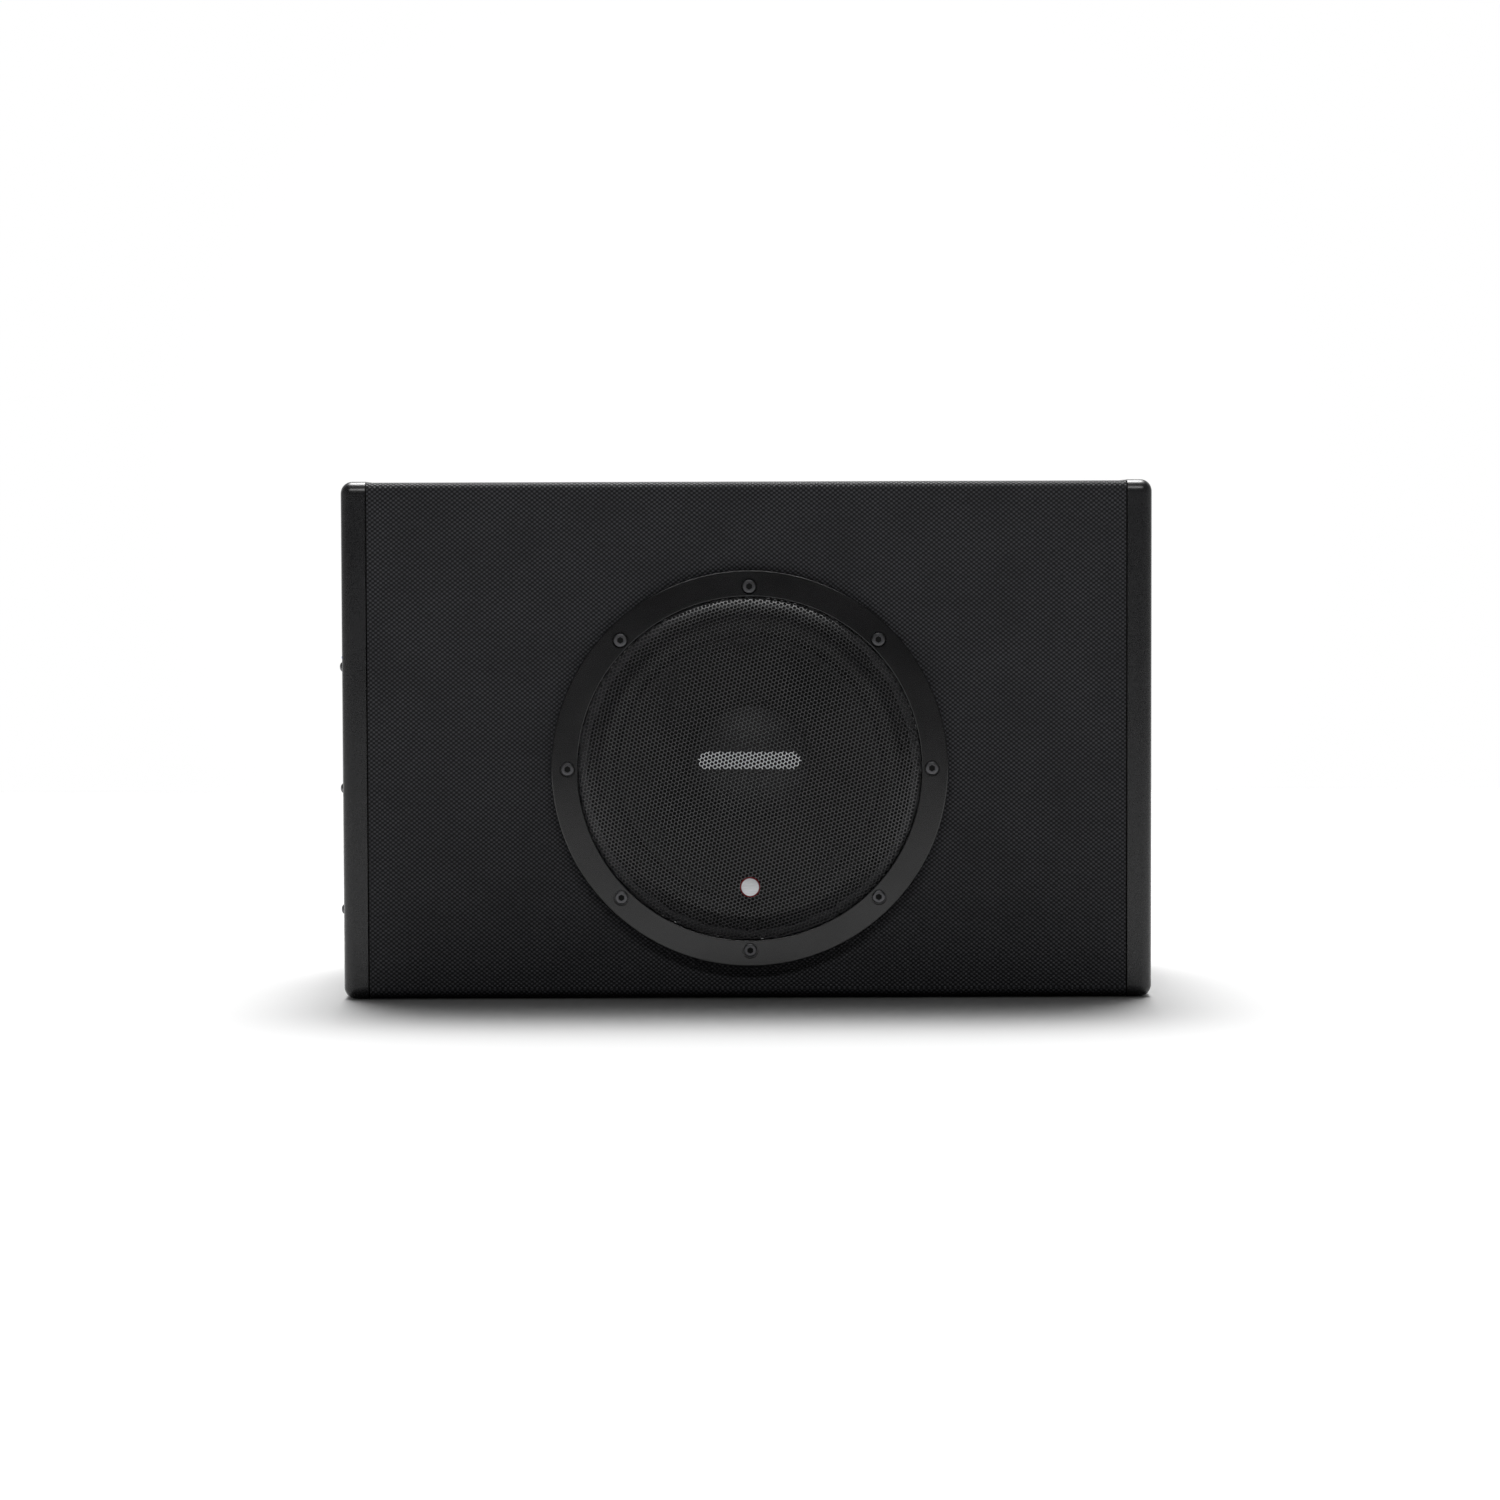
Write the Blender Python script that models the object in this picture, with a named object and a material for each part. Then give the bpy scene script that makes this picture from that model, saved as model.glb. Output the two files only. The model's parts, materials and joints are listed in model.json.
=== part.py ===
"""A powered car subwoofer, built piece by piece, in metres.

The cabinet stands on z = 0 with its front towards -Y and its amplifier panel towards -X.
The driver's axis runs along Y. Touching pieces keep a gap, so that each one is its own solid.
"""

import math

import bmesh
import bpy
from mathutils import Matrix, Vector

# ---------------------------------------------------------------- driving dimensions
WIDTH = 0.461
HEIGHT = 0.295
CAP_FRONT_Y = -0.1076
CAP_BACK_Y = 0.1150
GAP = 0.0003

# End caps: moulded trays that close the two ends of the box
CAP_DEPTH = 0.0143
CAP_WALL = 0.0044
CAP_RIM = 0.0030
CAP_CORNER = 0.0075
CAP_ROUND = 0.0065
SEAM = 0.0008

# Wrap and boards
WRAP_BELOW_CAP = 0.0006
WRAP_THICK = 0.0006
WRAP_CORNER = 0.0050
BOARD = 0.0120
BAFFLE = 0.0150
DIVIDER = 0.0090
DIVIDER_X = -0.1475

# Driver, by radius about its axis and by height along Y
DRIVER_X = 0.0015
DRIVER_Z = 0.1315
RING_OUTER = 0.1128
RING_INNER = 0.0978
RING_FRONT_Y = -0.1125
BOLT_CIRCLE = 0.1035
BOLTS = 8
FLANGE_OUTER = 0.1083
CUTOUT = 0.0955
CONE_EDGE = 0.0740
COIL_RADIUS = 0.0251
DUST_CAP_RADIUS = 0.0340
ROUND_STEPS = 24
FRONT_STEPS = 40
MOTOR_STEPS = 20

# Amplifier, let into the left end. Its face looks towards -X
AMP_Y = 0.0037
AMP_Z = 0.1200
AMP_HALF_Y = 0.1020
AMP_HALF_Z = 0.0800
AMP_FACE_X = -0.2302
AMP_THICK = 0.0025
TUB_HALF_Y = 0.0800
TUB_HALF_Z = 0.0600
TUB_DEPTH = 0.0070
PANEL_SCREW_Y = 0.0945
PANEL_SCREW_Z = 0.0695
BOARD_FACE_X = -0.2000
CONTROL_Z = 0.1600
SOCKET_Z = 0.1280
POWER_Z = 0.0870
KNOBS = (("bass_boost_knob", -0.046), ("crossover_knob", -0.014), ("gain_knob", 0.018))
JACKS = (("rca_jack_left", -0.042), ("rca_jack_right", -0.024))
SWITCH_Y = 0.0500
SWITCH_TRAVEL = 0.0040
LED_Y = -0.0945
LED_Z = 0.1950
POWER_Y = 0.0200
SPEAKER_Y = 0.0500
REMOTE_Y = 0.0120
SHAFT_HOLE = 0.0034
JACK_HOLE = 0.0045
SCREW_HOLE = 0.0020
LED_HOLE = 0.0018
BOLT_HOLE = 0.0023
COUNTERBORE = 0.0046
PANEL_WINDOWS = (
    ("switch_slot", SWITCH_Y + SWITCH_TRAVEL / 2, CONTROL_Z, 0.0048, 0.0024),
    ("power_window", POWER_Y, POWER_Z, 0.0303, 0.0113),
    ("speaker_window", SPEAKER_Y, SOCKET_Z, 0.0113, 0.0063),
    ("remote_window", REMOTE_Y, SOCKET_Z, 0.0068, 0.0063),
)

# ---------------------------------------------------------------- dimensions that follow
END_X = WIDTH / 2
RIM_X = END_X - CAP_DEPTH
SIDE_OUT_X = END_X - CAP_WALL - GAP
SIDE_IN_X = RIM_X
TUBE_X = RIM_X - GAP
WRAP_X = RIM_X - SEAM
WRAP_FRONT_Y = CAP_FRONT_Y + WRAP_BELOW_CAP
WRAP_BACK_Y = CAP_BACK_Y - WRAP_BELOW_CAP
WRAP_LOW_Z = WRAP_BELOW_CAP
WRAP_HIGH_Z = HEIGHT - WRAP_BELOW_CAP
INSET = WRAP_THICK + GAP
BOX_FRONT_Y = WRAP_FRONT_Y + INSET
BOX_BACK_Y = WRAP_BACK_Y - INSET
BOX_LOW_Z = WRAP_LOW_Z + INSET
BOX_HIGH_Z = WRAP_HIGH_Z - INSET
BAFFLE_BACK_Y = BOX_FRONT_Y + BAFFLE
REAR_FRONT_Y = BOX_BACK_Y - BOARD
TUB_FLOOR_X = AMP_FACE_X + TUB_DEPTH


# ---------------------------------------------------------------- helpers
def clear_scene():
    for obj in list(bpy.data.objects):
        bpy.data.objects.remove(obj, do_unlink=True)


def finish_material(name, color, roughness, metallic=0.0):
    """A Principled material, made once for each finish."""
    found = bpy.data.materials.get(name)
    if found:
        return found
    material = bpy.data.materials.new(name)
    material.use_nodes = True
    shader = material.node_tree.nodes["Principled BSDF"]
    shader.inputs["Base Color"].default_value = (*color, 1.0)
    shader.inputs["Roughness"].default_value = roughness
    shader.inputs["Metallic"].default_value = metallic
    material.diffuse_color = (*color, 1.0)
    return material


FINISHES = {
    "mdf": ((0.45, 0.30, 0.17), 0.85),
    "vinyl": ((0.022, 0.022, 0.024), 0.50),
    "cap_plastic": ((0.024, 0.024, 0.026), 0.50),
    "ring_plastic": ((0.018, 0.018, 0.020), 0.38),
    "mesh_steel": ((0.030, 0.030, 0.032), 0.35, 0.6),
    "black_screw": ((0.030, 0.030, 0.032), 0.30, 0.9),
    "badge": ((0.72, 0.72, 0.74), 0.30, 0.8),
    "basket_paint": ((0.020, 0.020, 0.022), 0.45, 0.3),
    "rubber": ((0.012, 0.012, 0.012), 0.65),
    "pulp": ((0.035, 0.034, 0.033), 0.85),
    "dust_cap": ((0.020, 0.020, 0.021), 0.50),
    "former": ((0.75, 0.75, 0.77), 0.30, 1.0),
    "copper": ((0.72, 0.36, 0.18), 0.35, 1.0),
    "spider_cloth": ((0.62, 0.45, 0.16), 0.90),
    "steel": ((0.55, 0.55, 0.57), 0.35, 1.0),
    "ferrite": ((0.045, 0.045, 0.050), 0.60),
    "amp_paint": ((0.020, 0.020, 0.022), 0.45, 0.2),
    "board_green": ((0.02, 0.16, 0.07), 0.45),
    "aluminium": ((0.70, 0.71, 0.72), 0.35, 1.0),
    "choke": ((0.60, 0.32, 0.12), 0.40, 0.7),
    "sleeve": ((0.02, 0.03, 0.09), 0.35),
    "knob": ((0.025, 0.025, 0.027), 0.50),
    "gold": ((0.80, 0.58, 0.22), 0.25, 1.0),
    "terminal_plastic": ((0.018, 0.018, 0.019), 0.45),
    "fuse_plastic": ((0.80, 0.30, 0.04), 0.25),
    "led_lens": ((0.10, 0.20, 0.75), 0.15),
    "wadding": ((0.80, 0.80, 0.78), 0.95),
    "cable": ((0.60, 0.10, 0.08), 0.55),
}


def new_object(name, mesh_data, finish, location=(0, 0, 0)):
    """Turns a bmesh into a named object with its finish."""
    mesh = bpy.data.meshes.new(name)
    mesh_data.to_mesh(mesh)
    mesh_data.free()
    obj = bpy.data.objects.new(name, mesh)
    obj.location = location
    bpy.context.scene.collection.objects.link(obj)
    if finish:
        obj.data.materials.append(finish_material(finish, *FINISHES[finish]))
    return obj


def shade_round(obj, angle=35):
    obj.data.shade_smooth()
    obj.data.set_sharp_from_angle(angle=math.radians(angle))
    return obj


def turned(name, profile, axis, finish, location=(0, 0, 0), steps=ROUND_STEPS):
    """Spins a profile of (radius, height) points about an axis through the object's origin.

    A profile that starts and ends on the axis is left open there; any other is a closed ring.
    """
    shape = bmesh.new()
    direction = {"X": Vector((1, 0, 0)), "Y": Vector((0, 1, 0))}[axis]
    corners = []
    for radius, height in profile:
        place = (height, radius, 0) if axis == "X" else (radius, height, 0)
        corners.append(shape.verts.new(place))
    for first, second in zip(corners, corners[1:]):
        shape.edges.new((first, second))
    if profile[0][0] > 0 or profile[-1][0] > 0:
        shape.edges.new((corners[-1], corners[0]))
    bmesh.ops.spin(
        shape,
        geom=shape.verts[:] + shape.edges[:],
        cent=(0, 0, 0),
        axis=direction,
        angle=math.tau,
        steps=steps,
        use_merge=True,
    )
    bmesh.ops.remove_doubles(shape, verts=shape.verts[:], dist=1e-6)
    bmesh.ops.recalc_face_normals(shape, faces=shape.faces[:])
    return shade_round(new_object(name, shape, finish, location))


def block(name, low, high, finish, bevel=0.0, location=(0, 0, 0)):
    """A box between two corners, with its edges eased by a Bevel modifier."""
    shape = bmesh.new()
    bmesh.ops.create_cube(shape, size=1.0)
    size = Vector(high) - Vector(low)
    bmesh.ops.scale(shape, vec=size, verts=shape.verts[:])
    bmesh.ops.translate(shape, vec=(Vector(high) + Vector(low)) / 2, verts=shape.verts[:])
    obj = new_object(name, shape, finish, location)
    if bevel:
        easing = obj.modifiers.new("eased_edges", "BEVEL")
        easing.width = bevel
        easing.segments = 1
    return obj


def rounded_outline(low, high, radius, steps=5):
    """The (y, z) points of a rectangle with round corners."""
    (low_y, low_z), (high_y, high_z) = low, high
    centres = (
        (high_y - radius, high_z - radius),
        (low_y + radius, high_z - radius),
        (low_y + radius, low_z + radius),
        (high_y - radius, low_z + radius),
    )
    points = []
    for quarter, (y, z) in enumerate(centres):
        for step in range(steps + 1):
            angle = math.pi / 2 * (quarter + step / steps)
            points.append((y + radius * math.cos(angle), z + radius * math.sin(angle)))
    return points


def extruded(name, outline, low_x, high_x, finish, round_x=None, rounding=0.0, location=(0, 0, 0)):
    """A (y, z) outline drawn out along X. Its rim at round_x may be rounded over."""
    shape = bmesh.new()
    face = shape.faces.new([shape.verts.new((low_x, y, z)) for y, z in outline])
    drawn = bmesh.ops.extrude_face_region(shape, geom=[face])
    moved = [item for item in drawn["geom"] if isinstance(item, bmesh.types.BMVert)]
    bmesh.ops.translate(shape, vec=(high_x - low_x, 0, 0), verts=moved)
    bmesh.ops.recalc_face_normals(shape, faces=shape.faces[:])
    if rounding:
        rim = [
            edge
            for edge in shape.edges
            if all(abs(vert.co.x - round_x) < 1e-6 for vert in edge.verts)
        ]
        bmesh.ops.bevel(
            shape, geom=rim, offset=rounding, segments=4, profile=0.5, affect="EDGES"
        )
    return shade_round(new_object(name, shape, finish, location))


def hide_cutter(cutter):
    cutter.hide_render = True
    cutter.display_type = "WIRE"
    return cutter


def apply_boolean(target, cutter, label, operation="DIFFERENCE"):
    """Adds an exact Boolean that takes the cutter out of the target, or joins it on."""
    hide_cutter(cutter)
    modifier = target.modifiers.new(label, "BOOLEAN")
    modifier.operation = operation
    modifier.solver = "EXACT"
    modifier.object = cutter
    return target


def rods(name, centres, radius, start, end, axis, steps=12):
    """One cutter made of parallel rods. Centres are the two coordinates across the axis."""
    shape = bmesh.new()
    for first, second in centres:
        made = bmesh.ops.create_cone(
            shape,
            cap_ends=True,
            segments=steps,
            radius1=radius,
            radius2=radius,
            depth=end - start,
        )["verts"]
        if axis == "X":
            turn = quarter_turn((0, 1, 0))
            place = Vector(((start + end) / 2, first, second))
        else:
            turn = quarter_turn((1, 0, 0))
            place = Vector((first, (start + end) / 2, second))
        bmesh.ops.rotate(shape, cent=(0, 0, 0), matrix=turn, verts=made)
        bmesh.ops.translate(shape, vec=place, verts=made)
    bmesh.ops.recalc_face_normals(shape, faces=shape.faces[:])
    return hide_cutter(new_object(name, shape, None))


def quarter_turn(axis):
    """A quarter turn about an axis, to lay a Z cylinder down."""
    return Matrix.Rotation(math.pi / 2, 3, axis)


def bolt_places():
    """The (x, z) places of the driver's bolts, the first at the top."""
    places = []
    for index in range(BOLTS):
        angle = math.pi / 2 - math.tau * index / BOLTS
        places.append(
            (
                DRIVER_X + BOLT_CIRCLE * math.cos(angle),
                DRIVER_Z + BOLT_CIRCLE * math.sin(angle),
            )
        )
    return places


def panel_screw_places():
    """The (y, z) places of the amplifier panel's screws, in two columns."""
    return [
        (AMP_Y + side * PANEL_SCREW_Y, AMP_Z + row * PANEL_SCREW_Z)
        for side in (-1, 1)
        for row in (-1, 0, 1)
    ]


def smooth_route(points, samples):
    """Points read at even steps from a Catmull-Rom curve through the given ones."""
    ends = [2 * points[0] - points[1], *points, 2 * points[-1] - points[-2]]
    fine = []
    for index in range(len(points) - 1):
        a, b, c, d = ends[index : index + 4]
        for step in range(16):
            t = step / 16
            fine.append(
                0.5
                * (
                    2 * b
                    + (c - a) * t
                    + (2 * a - 5 * b + 4 * c - d) * t**2
                    + (3 * b - a - 3 * c + d) * t**3
                )
            )
    fine.append(points[-1])
    stride = (len(fine) - 1) / (samples - 1)
    return [fine[round(stride * index)] for index in range(samples)]


def tube(name, route, radius, samples, finish):
    """A round lead: a poly curve with a bevel and filled caps."""
    curve = bpy.data.curves.new(name, "CURVE")
    curve.dimensions = "3D"
    curve.bevel_depth = radius
    curve.bevel_resolution = 2
    curve.use_fill_caps = True
    line = curve.splines.new("POLY")
    points = smooth_route([Vector(place) for place in route], samples)
    line.points.add(len(points) - 1)
    for target, point in zip(line.points, points):
        target.co = (*point, 1.0)
    obj = bpy.data.objects.new(name, curve)
    bpy.context.scene.collection.objects.link(obj)
    curve.materials.append(finish_material(finish, *FINISHES[finish]))
    return obj


# ---------------------------------------------------------------- box and caps
def make_boards():
    """The boards of the box: two long ones with routed edges, and two that fit between them."""
    corner = WRAP_CORNER - INSET
    for name, low_z, high_z, outer in (
        ("top_panel", BOX_HIGH_Z - BOARD, BOX_HIGH_Z, 1),
        ("bottom_panel", BOX_LOW_Z, BOX_LOW_Z + BOARD, -1),
    ):
        board = block(name, (-TUBE_X, BOX_FRONT_Y, low_z), (TUBE_X, BOX_BACK_Y, high_z), "mdf")
        route_long_edges(board, high_z if outer > 0 else low_z, corner)
    low_z = BOX_LOW_Z + BOARD + GAP
    high_z = BOX_HIGH_Z - BOARD - GAP
    block("rear_panel", (-TUBE_X, REAR_FRONT_Y, low_z), (TUBE_X, BOX_BACK_Y, high_z), "mdf")
    baffle = block(
        "front_baffle", (-TUBE_X, BOX_FRONT_Y, low_z), (TUBE_X, BAFFLE_BACK_Y, high_z), "mdf"
    )
    axis_place = [(DRIVER_X, DRIVER_Z)]
    hole = rods("cut_driver_hole", axis_place, CUTOUT, -0.13, -0.07, "Y", ROUND_STEPS)
    apply_boolean(baffle, hole, "driver_hole")
    rebate = rods(
        "cut_rebate", axis_place, FLANGE_OUTER + 0.0007, -0.13, -0.1001, "Y", ROUND_STEPS
    )
    apply_boolean(baffle, rebate, "driver_rebate")
    apply_boolean(
        baffle, rods("cut_pilots", bolt_places(), 0.0022, -0.1050, -0.0940, "Y", 8), "pilot_holes"
    )


def route_long_edges(board, at_z, radius):
    """Rounds the two long edges of a board that lie at one height."""
    shape = bmesh.new()
    shape.from_mesh(board.data)
    long_edges = [
        edge
        for edge in shape.edges
        if all(abs(vert.co.z - at_z) < 1e-6 for vert in edge.verts)
        and abs(edge.verts[0].co.x - edge.verts[1].co.x) > 0.1
    ]
    bmesh.ops.bevel(
        shape, geom=long_edges, offset=radius, segments=4, profile=0.5, affect="EDGES"
    )
    shape.to_mesh(board.data)
    shape.free()
    shade_round(board)


def make_side_panels():
    """End boards, which the caps close over. The left one is cut out for the amplifier."""
    low = (CAP_FRONT_Y + CAP_RIM + GAP, CAP_RIM + GAP)
    high = (CAP_BACK_Y - CAP_RIM - GAP, HEIGHT - CAP_RIM - GAP)
    outline = rounded_outline(low, high, CAP_CORNER - CAP_RIM - GAP)
    extruded("right_side_panel", outline, SIDE_IN_X, SIDE_OUT_X, "mdf")
    left = extruded("left_side_panel", outline, -SIDE_OUT_X, -SIDE_IN_X, "mdf")
    margin = 0.0060
    opening = rounded_outline(
        (AMP_Y - TUB_HALF_Y - margin, AMP_Z - TUB_HALF_Z - margin),
        (AMP_Y + TUB_HALF_Y + margin, AMP_Z + TUB_HALF_Z + margin),
        0.006,
        3,
    )
    apply_boolean(left, extruded("cut_amp_bay", opening, -0.24, -0.20, None), "amp_bay")
    pilots = rods("cut_panel_pilots", panel_screw_places(), 0.0019, -0.23, -0.2190, "X", 8)
    apply_boolean(left, pilots, "panel_pilots")


def make_end_cap(name, side):
    """A moulded tray whose rim wraps the end board, with a rounded outer edge."""
    outline = rounded_outline((CAP_FRONT_Y, 0), (CAP_BACK_Y, HEIGHT), CAP_CORNER)
    low_x, high_x = sorted((side * RIM_X, side * END_X))
    cap = extruded(
        name, outline, low_x, high_x, "cap_plastic", round_x=side * END_X, rounding=CAP_ROUND
    )
    pocket = rounded_outline(
        (CAP_FRONT_Y + CAP_RIM, CAP_RIM),
        (CAP_BACK_Y - CAP_RIM, HEIGHT - CAP_RIM),
        CAP_CORNER - CAP_RIM,
    )
    low_x, high_x = sorted((side * (RIM_X - 0.01), side * (END_X - CAP_WALL)))
    apply_boolean(cap, extruded("cut_pocket_" + name, pocket, low_x, high_x, None), "pocket")
    return cap


def open_cap_for_amp(cap):
    clearance = 0.0005
    opening = rounded_outline(
        (AMP_Y - AMP_HALF_Y - clearance, AMP_Z - AMP_HALF_Z - clearance),
        (AMP_Y + AMP_HALF_Y + clearance, AMP_Z + AMP_HALF_Z + clearance),
        0.006,
        4,
    )
    apply_boolean(cap, extruded("cut_amp_window", opening, -0.24, -0.22, None), "amp_window")


def make_wrap():
    """The vinyl sleeve round the box, open at both ends and cut away round the driver."""
    outer = rounded_outline(
        (WRAP_FRONT_Y, WRAP_LOW_Z), (WRAP_BACK_Y, WRAP_HIGH_Z), WRAP_CORNER
    )
    inner = rounded_outline(
        (WRAP_FRONT_Y + WRAP_THICK, WRAP_LOW_Z + WRAP_THICK),
        (WRAP_BACK_Y - WRAP_THICK, WRAP_HIGH_Z - WRAP_THICK),
        WRAP_CORNER - WRAP_THICK,
    )
    wrap = extruded("vinyl_wrap", outer, -WRAP_X, WRAP_X, "vinyl")
    apply_boolean(wrap, extruded("cut_wrap_inside", inner, -0.23, 0.23, None), "inside")
    hole = rods(
        "cut_wrap_hole",
        [(DRIVER_X, DRIVER_Z)],
        FLANGE_OUTER + 0.0007,
        -0.13,
        -0.09,
        "Y",
        ROUND_STEPS,
    )
    apply_boolean(wrap, hole, "driver_hole")


def make_divider_and_padding():
    low_z = BOX_LOW_Z + BOARD + GAP
    high_z = BOX_HIGH_Z - BOARD - GAP
    wall = block(
        "amp_chamber_wall",
        (DIVIDER_X - DIVIDER / 2, BAFFLE_BACK_Y + GAP, low_z),
        (DIVIDER_X + DIVIDER / 2, REAR_FRONT_Y - GAP, high_z),
        "mdf",
    )
    apply_boolean(
        wall, rods("cut_cable_hole", [(0.030, 0.100)], 0.0045, -0.17, -0.13, "X"), "cable_hole"
    )
    block("damping_pad", (-0.10, 0.0890, 0.040), (0.19, 0.1009, 0.250), "wadding", 0.004)


# ---------------------------------------------------------------- driver
def on_driver():
    return (DRIVER_X, 0, DRIVER_Z)


def make_basket():
    """The stamped frame: flange, surround ledge, six spokes, spider ledge and seat for the motor."""
    profile = [
        (FLANGE_OUTER, -0.1060),
        (0.0930, -0.1060),
        (0.0930, -0.0990),
        (0.0865, -0.0990),
        (0.0865, -0.0970),
        (0.0900, -0.0970),
        (0.0612, -0.0640),
        (0.0612, -0.0600),
        (0.0560, -0.0600),
        (0.0560, -0.0510),
        (0.0300, -0.0510),
        (0.0300, -0.0490),
        (0.0580, -0.0490),
        (0.0580, -0.0580),
        (0.0632, -0.0580),
        (0.0632, -0.0632),
        (0.0928, -0.0965),
        (0.0945, -0.0965),
        (0.0945, -0.1025),
        (FLANGE_OUTER, -0.1025),
    ]
    basket = turned("driver_basket", profile, "Y", "basket_paint", on_driver())
    apply_boolean(basket, make_window_cutter(), "windows")
    apply_boolean(
        basket, rods("cut_flange_bolts", bolt_places(), BOLT_HOLE, -0.12, -0.1020, "Y", 8), "bolts"
    )


def make_window_cutter(windows=6):
    """Six wedges round the basket, leaving a spoke between each two."""
    shape = bmesh.new()
    for index in range(windows):
        angle = math.tau * index / windows
        outward = Vector((math.cos(angle), 0, math.sin(angle)))
        across = Vector((-math.sin(angle), 0, math.cos(angle)))
        corners = []
        for y in (-0.0930, -0.0650):
            for radius, half in ((0.058, 0.020), (0.100, 0.036)):
                for side in (-1, 1):
                    corners.append(
                        shape.verts.new(outward * radius + across * half * side + Vector((0, y, 0)))
                    )
        a, b, c, d, e, f, g, h = corners
        ends = ((a, b, d, c), (e, g, h, f))
        sides = ((a, e, f, b), (c, d, h, g), (a, c, g, e), (b, f, h, d))
        for face in ends + sides:
            shape.faces.new(face)
    bmesh.ops.recalc_face_normals(shape, faces=shape.faces[:])
    return hide_cutter(new_object("cut_windows", shape, None, on_driver()))


def make_gasket():
    profile = [(FLANGE_OUTER, -0.1022), (0.0960, -0.1022), (0.0960, -0.1004), (FLANGE_OUTER, -0.1004)]
    gasket = turned("driver_gasket", profile, "Y", "rubber", on_driver())
    apply_boolean(
        gasket, rods("cut_gasket_bolts", bolt_places(), BOLT_HOLE, -0.11, -0.09, "Y", 8), "bolts"
    )


def arc_points(centre_r, centre_y, half_width, height, start, end, steps):
    """Points along a flattened arc, from one angle to another, in degrees. It bulges to -Y."""
    points = []
    for index in range(steps + 1):
        angle = math.radians(start + (end - start) * index / steps)
        points.append(
            (centre_r + half_width * math.cos(angle), centre_y - height * math.sin(angle))
        )
    return points


def make_surround():
    """The rubber half roll between the basket's ledge and the cone's lip."""
    front = arc_points(0.0808, -0.1000, 0.0065, 0.0068, 0, 180, 6)
    back = arc_points(0.0808, -0.0994, 0.0053, 0.0056, 180, 0, 6)
    profile = (
        [(0.0925, -0.1005), (0.0878, -0.1005)]
        + front
        + [(0.0705, -0.0998), (0.0705, -0.0986), (0.0750, -0.0986)]
        + back
        + [(0.0925, -0.0993)]
    )
    turned("surround", profile, "Y", "rubber", on_driver())


def make_cone():
    profile = [
        (0.0256, -0.0708),
        (0.0690, -0.0983),
        (CONE_EDGE, -0.0983),
        (CONE_EDGE, -0.0975),
        (0.0693, -0.0975),
        (0.0256, -0.0700),
    ]
    turned("cone", profile, "Y", "pulp", on_driver())


def make_dust_cap():
    """A shallow dome glued to the cone."""
    rise = 0.0120
    rim_y = -0.0771
    thick = 0.0008
    sphere = (DUST_CAP_RADIUS**2 + rise**2) / (2 * rise)
    half_angle = math.asin(DUST_CAP_RADIUS / sphere)
    outer = []
    inner = []
    for index in range(6):
        angle = half_angle * index / 5
        outer.append((sphere * math.sin(angle), rim_y - rise + sphere * (1 - math.cos(angle))))
        reach = sphere - thick
        inner.append(
            (reach * math.sin(angle), rim_y - rise + sphere - reach * math.cos(angle))
        )
    turned("dust_cap", outer + inner[::-1], "Y", "dust_cap", on_driver(), MOTOR_STEPS)


def make_voice_coil():
    inside = COIL_RADIUS - 0.0005
    former = [
        (COIL_RADIUS, -0.0690),
        (inside, -0.0690),
        (inside, -0.0365),
        (COIL_RADIUS, -0.0365),
    ]
    turned("voice_coil_former", former, "Y", "former", on_driver(), MOTOR_STEPS)
    coil = [(0.0264, -0.0525), (0.0254, -0.0525), (0.0254, -0.0380), (0.0264, -0.0380)]
    turned("voice_coil", coil, "Y", "copper", on_driver(), MOTOR_STEPS)


def make_spider():
    """The corrugated cloth disc that centres the coil."""
    thick = 0.0008
    wave = 0.0012
    middle_y = -0.0611
    inner_r, outer_r = 0.0268, 0.0555
    folds = 8
    front = []
    for index in range(folds + 1):
        radius = outer_r + (inner_r - outer_r) * index / folds
        front.append((radius, middle_y - wave * (-1) ** index))
    back = [(radius, height + thick) for radius, height in front[::-1]]
    profile = (
        [(0.0605, middle_y)]
        + front
        + [(0.0256, middle_y), (0.0256, middle_y + thick)]
        + back
        + [(0.0605, middle_y + thick)]
    )
    turned("spider", profile, "Y", "spider_cloth", on_driver(), MOTOR_STEPS)


def make_motor():
    """Top plate, ring magnet, and the back plate with its vented pole."""
    plate = [(0.0500, -0.0487), (0.0274, -0.0487), (0.0274, -0.0417), (0.0500, -0.0417)]
    turned("top_plate", plate, "Y", "steel", on_driver(), MOTOR_STEPS)
    magnet = [(0.0600, -0.0414), (0.0330, -0.0414), (0.0330, -0.0194), (0.0600, -0.0194)]
    turned("magnet", magnet, "Y", "ferrite", on_driver(), MOTOR_STEPS)
    pole = [
        (0.0550, -0.0191),
        (0.0238, -0.0191),
        (0.0238, -0.0470),
        (0.0228, -0.0480),
        (0.0060, -0.0480),
        (0.0060, -0.0121),
        (0.0535, -0.0121),
        (0.0550, -0.0136),
    ]
    turned("back_plate_pole", pole, "Y", "steel", on_driver(), MOTOR_STEPS)


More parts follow.
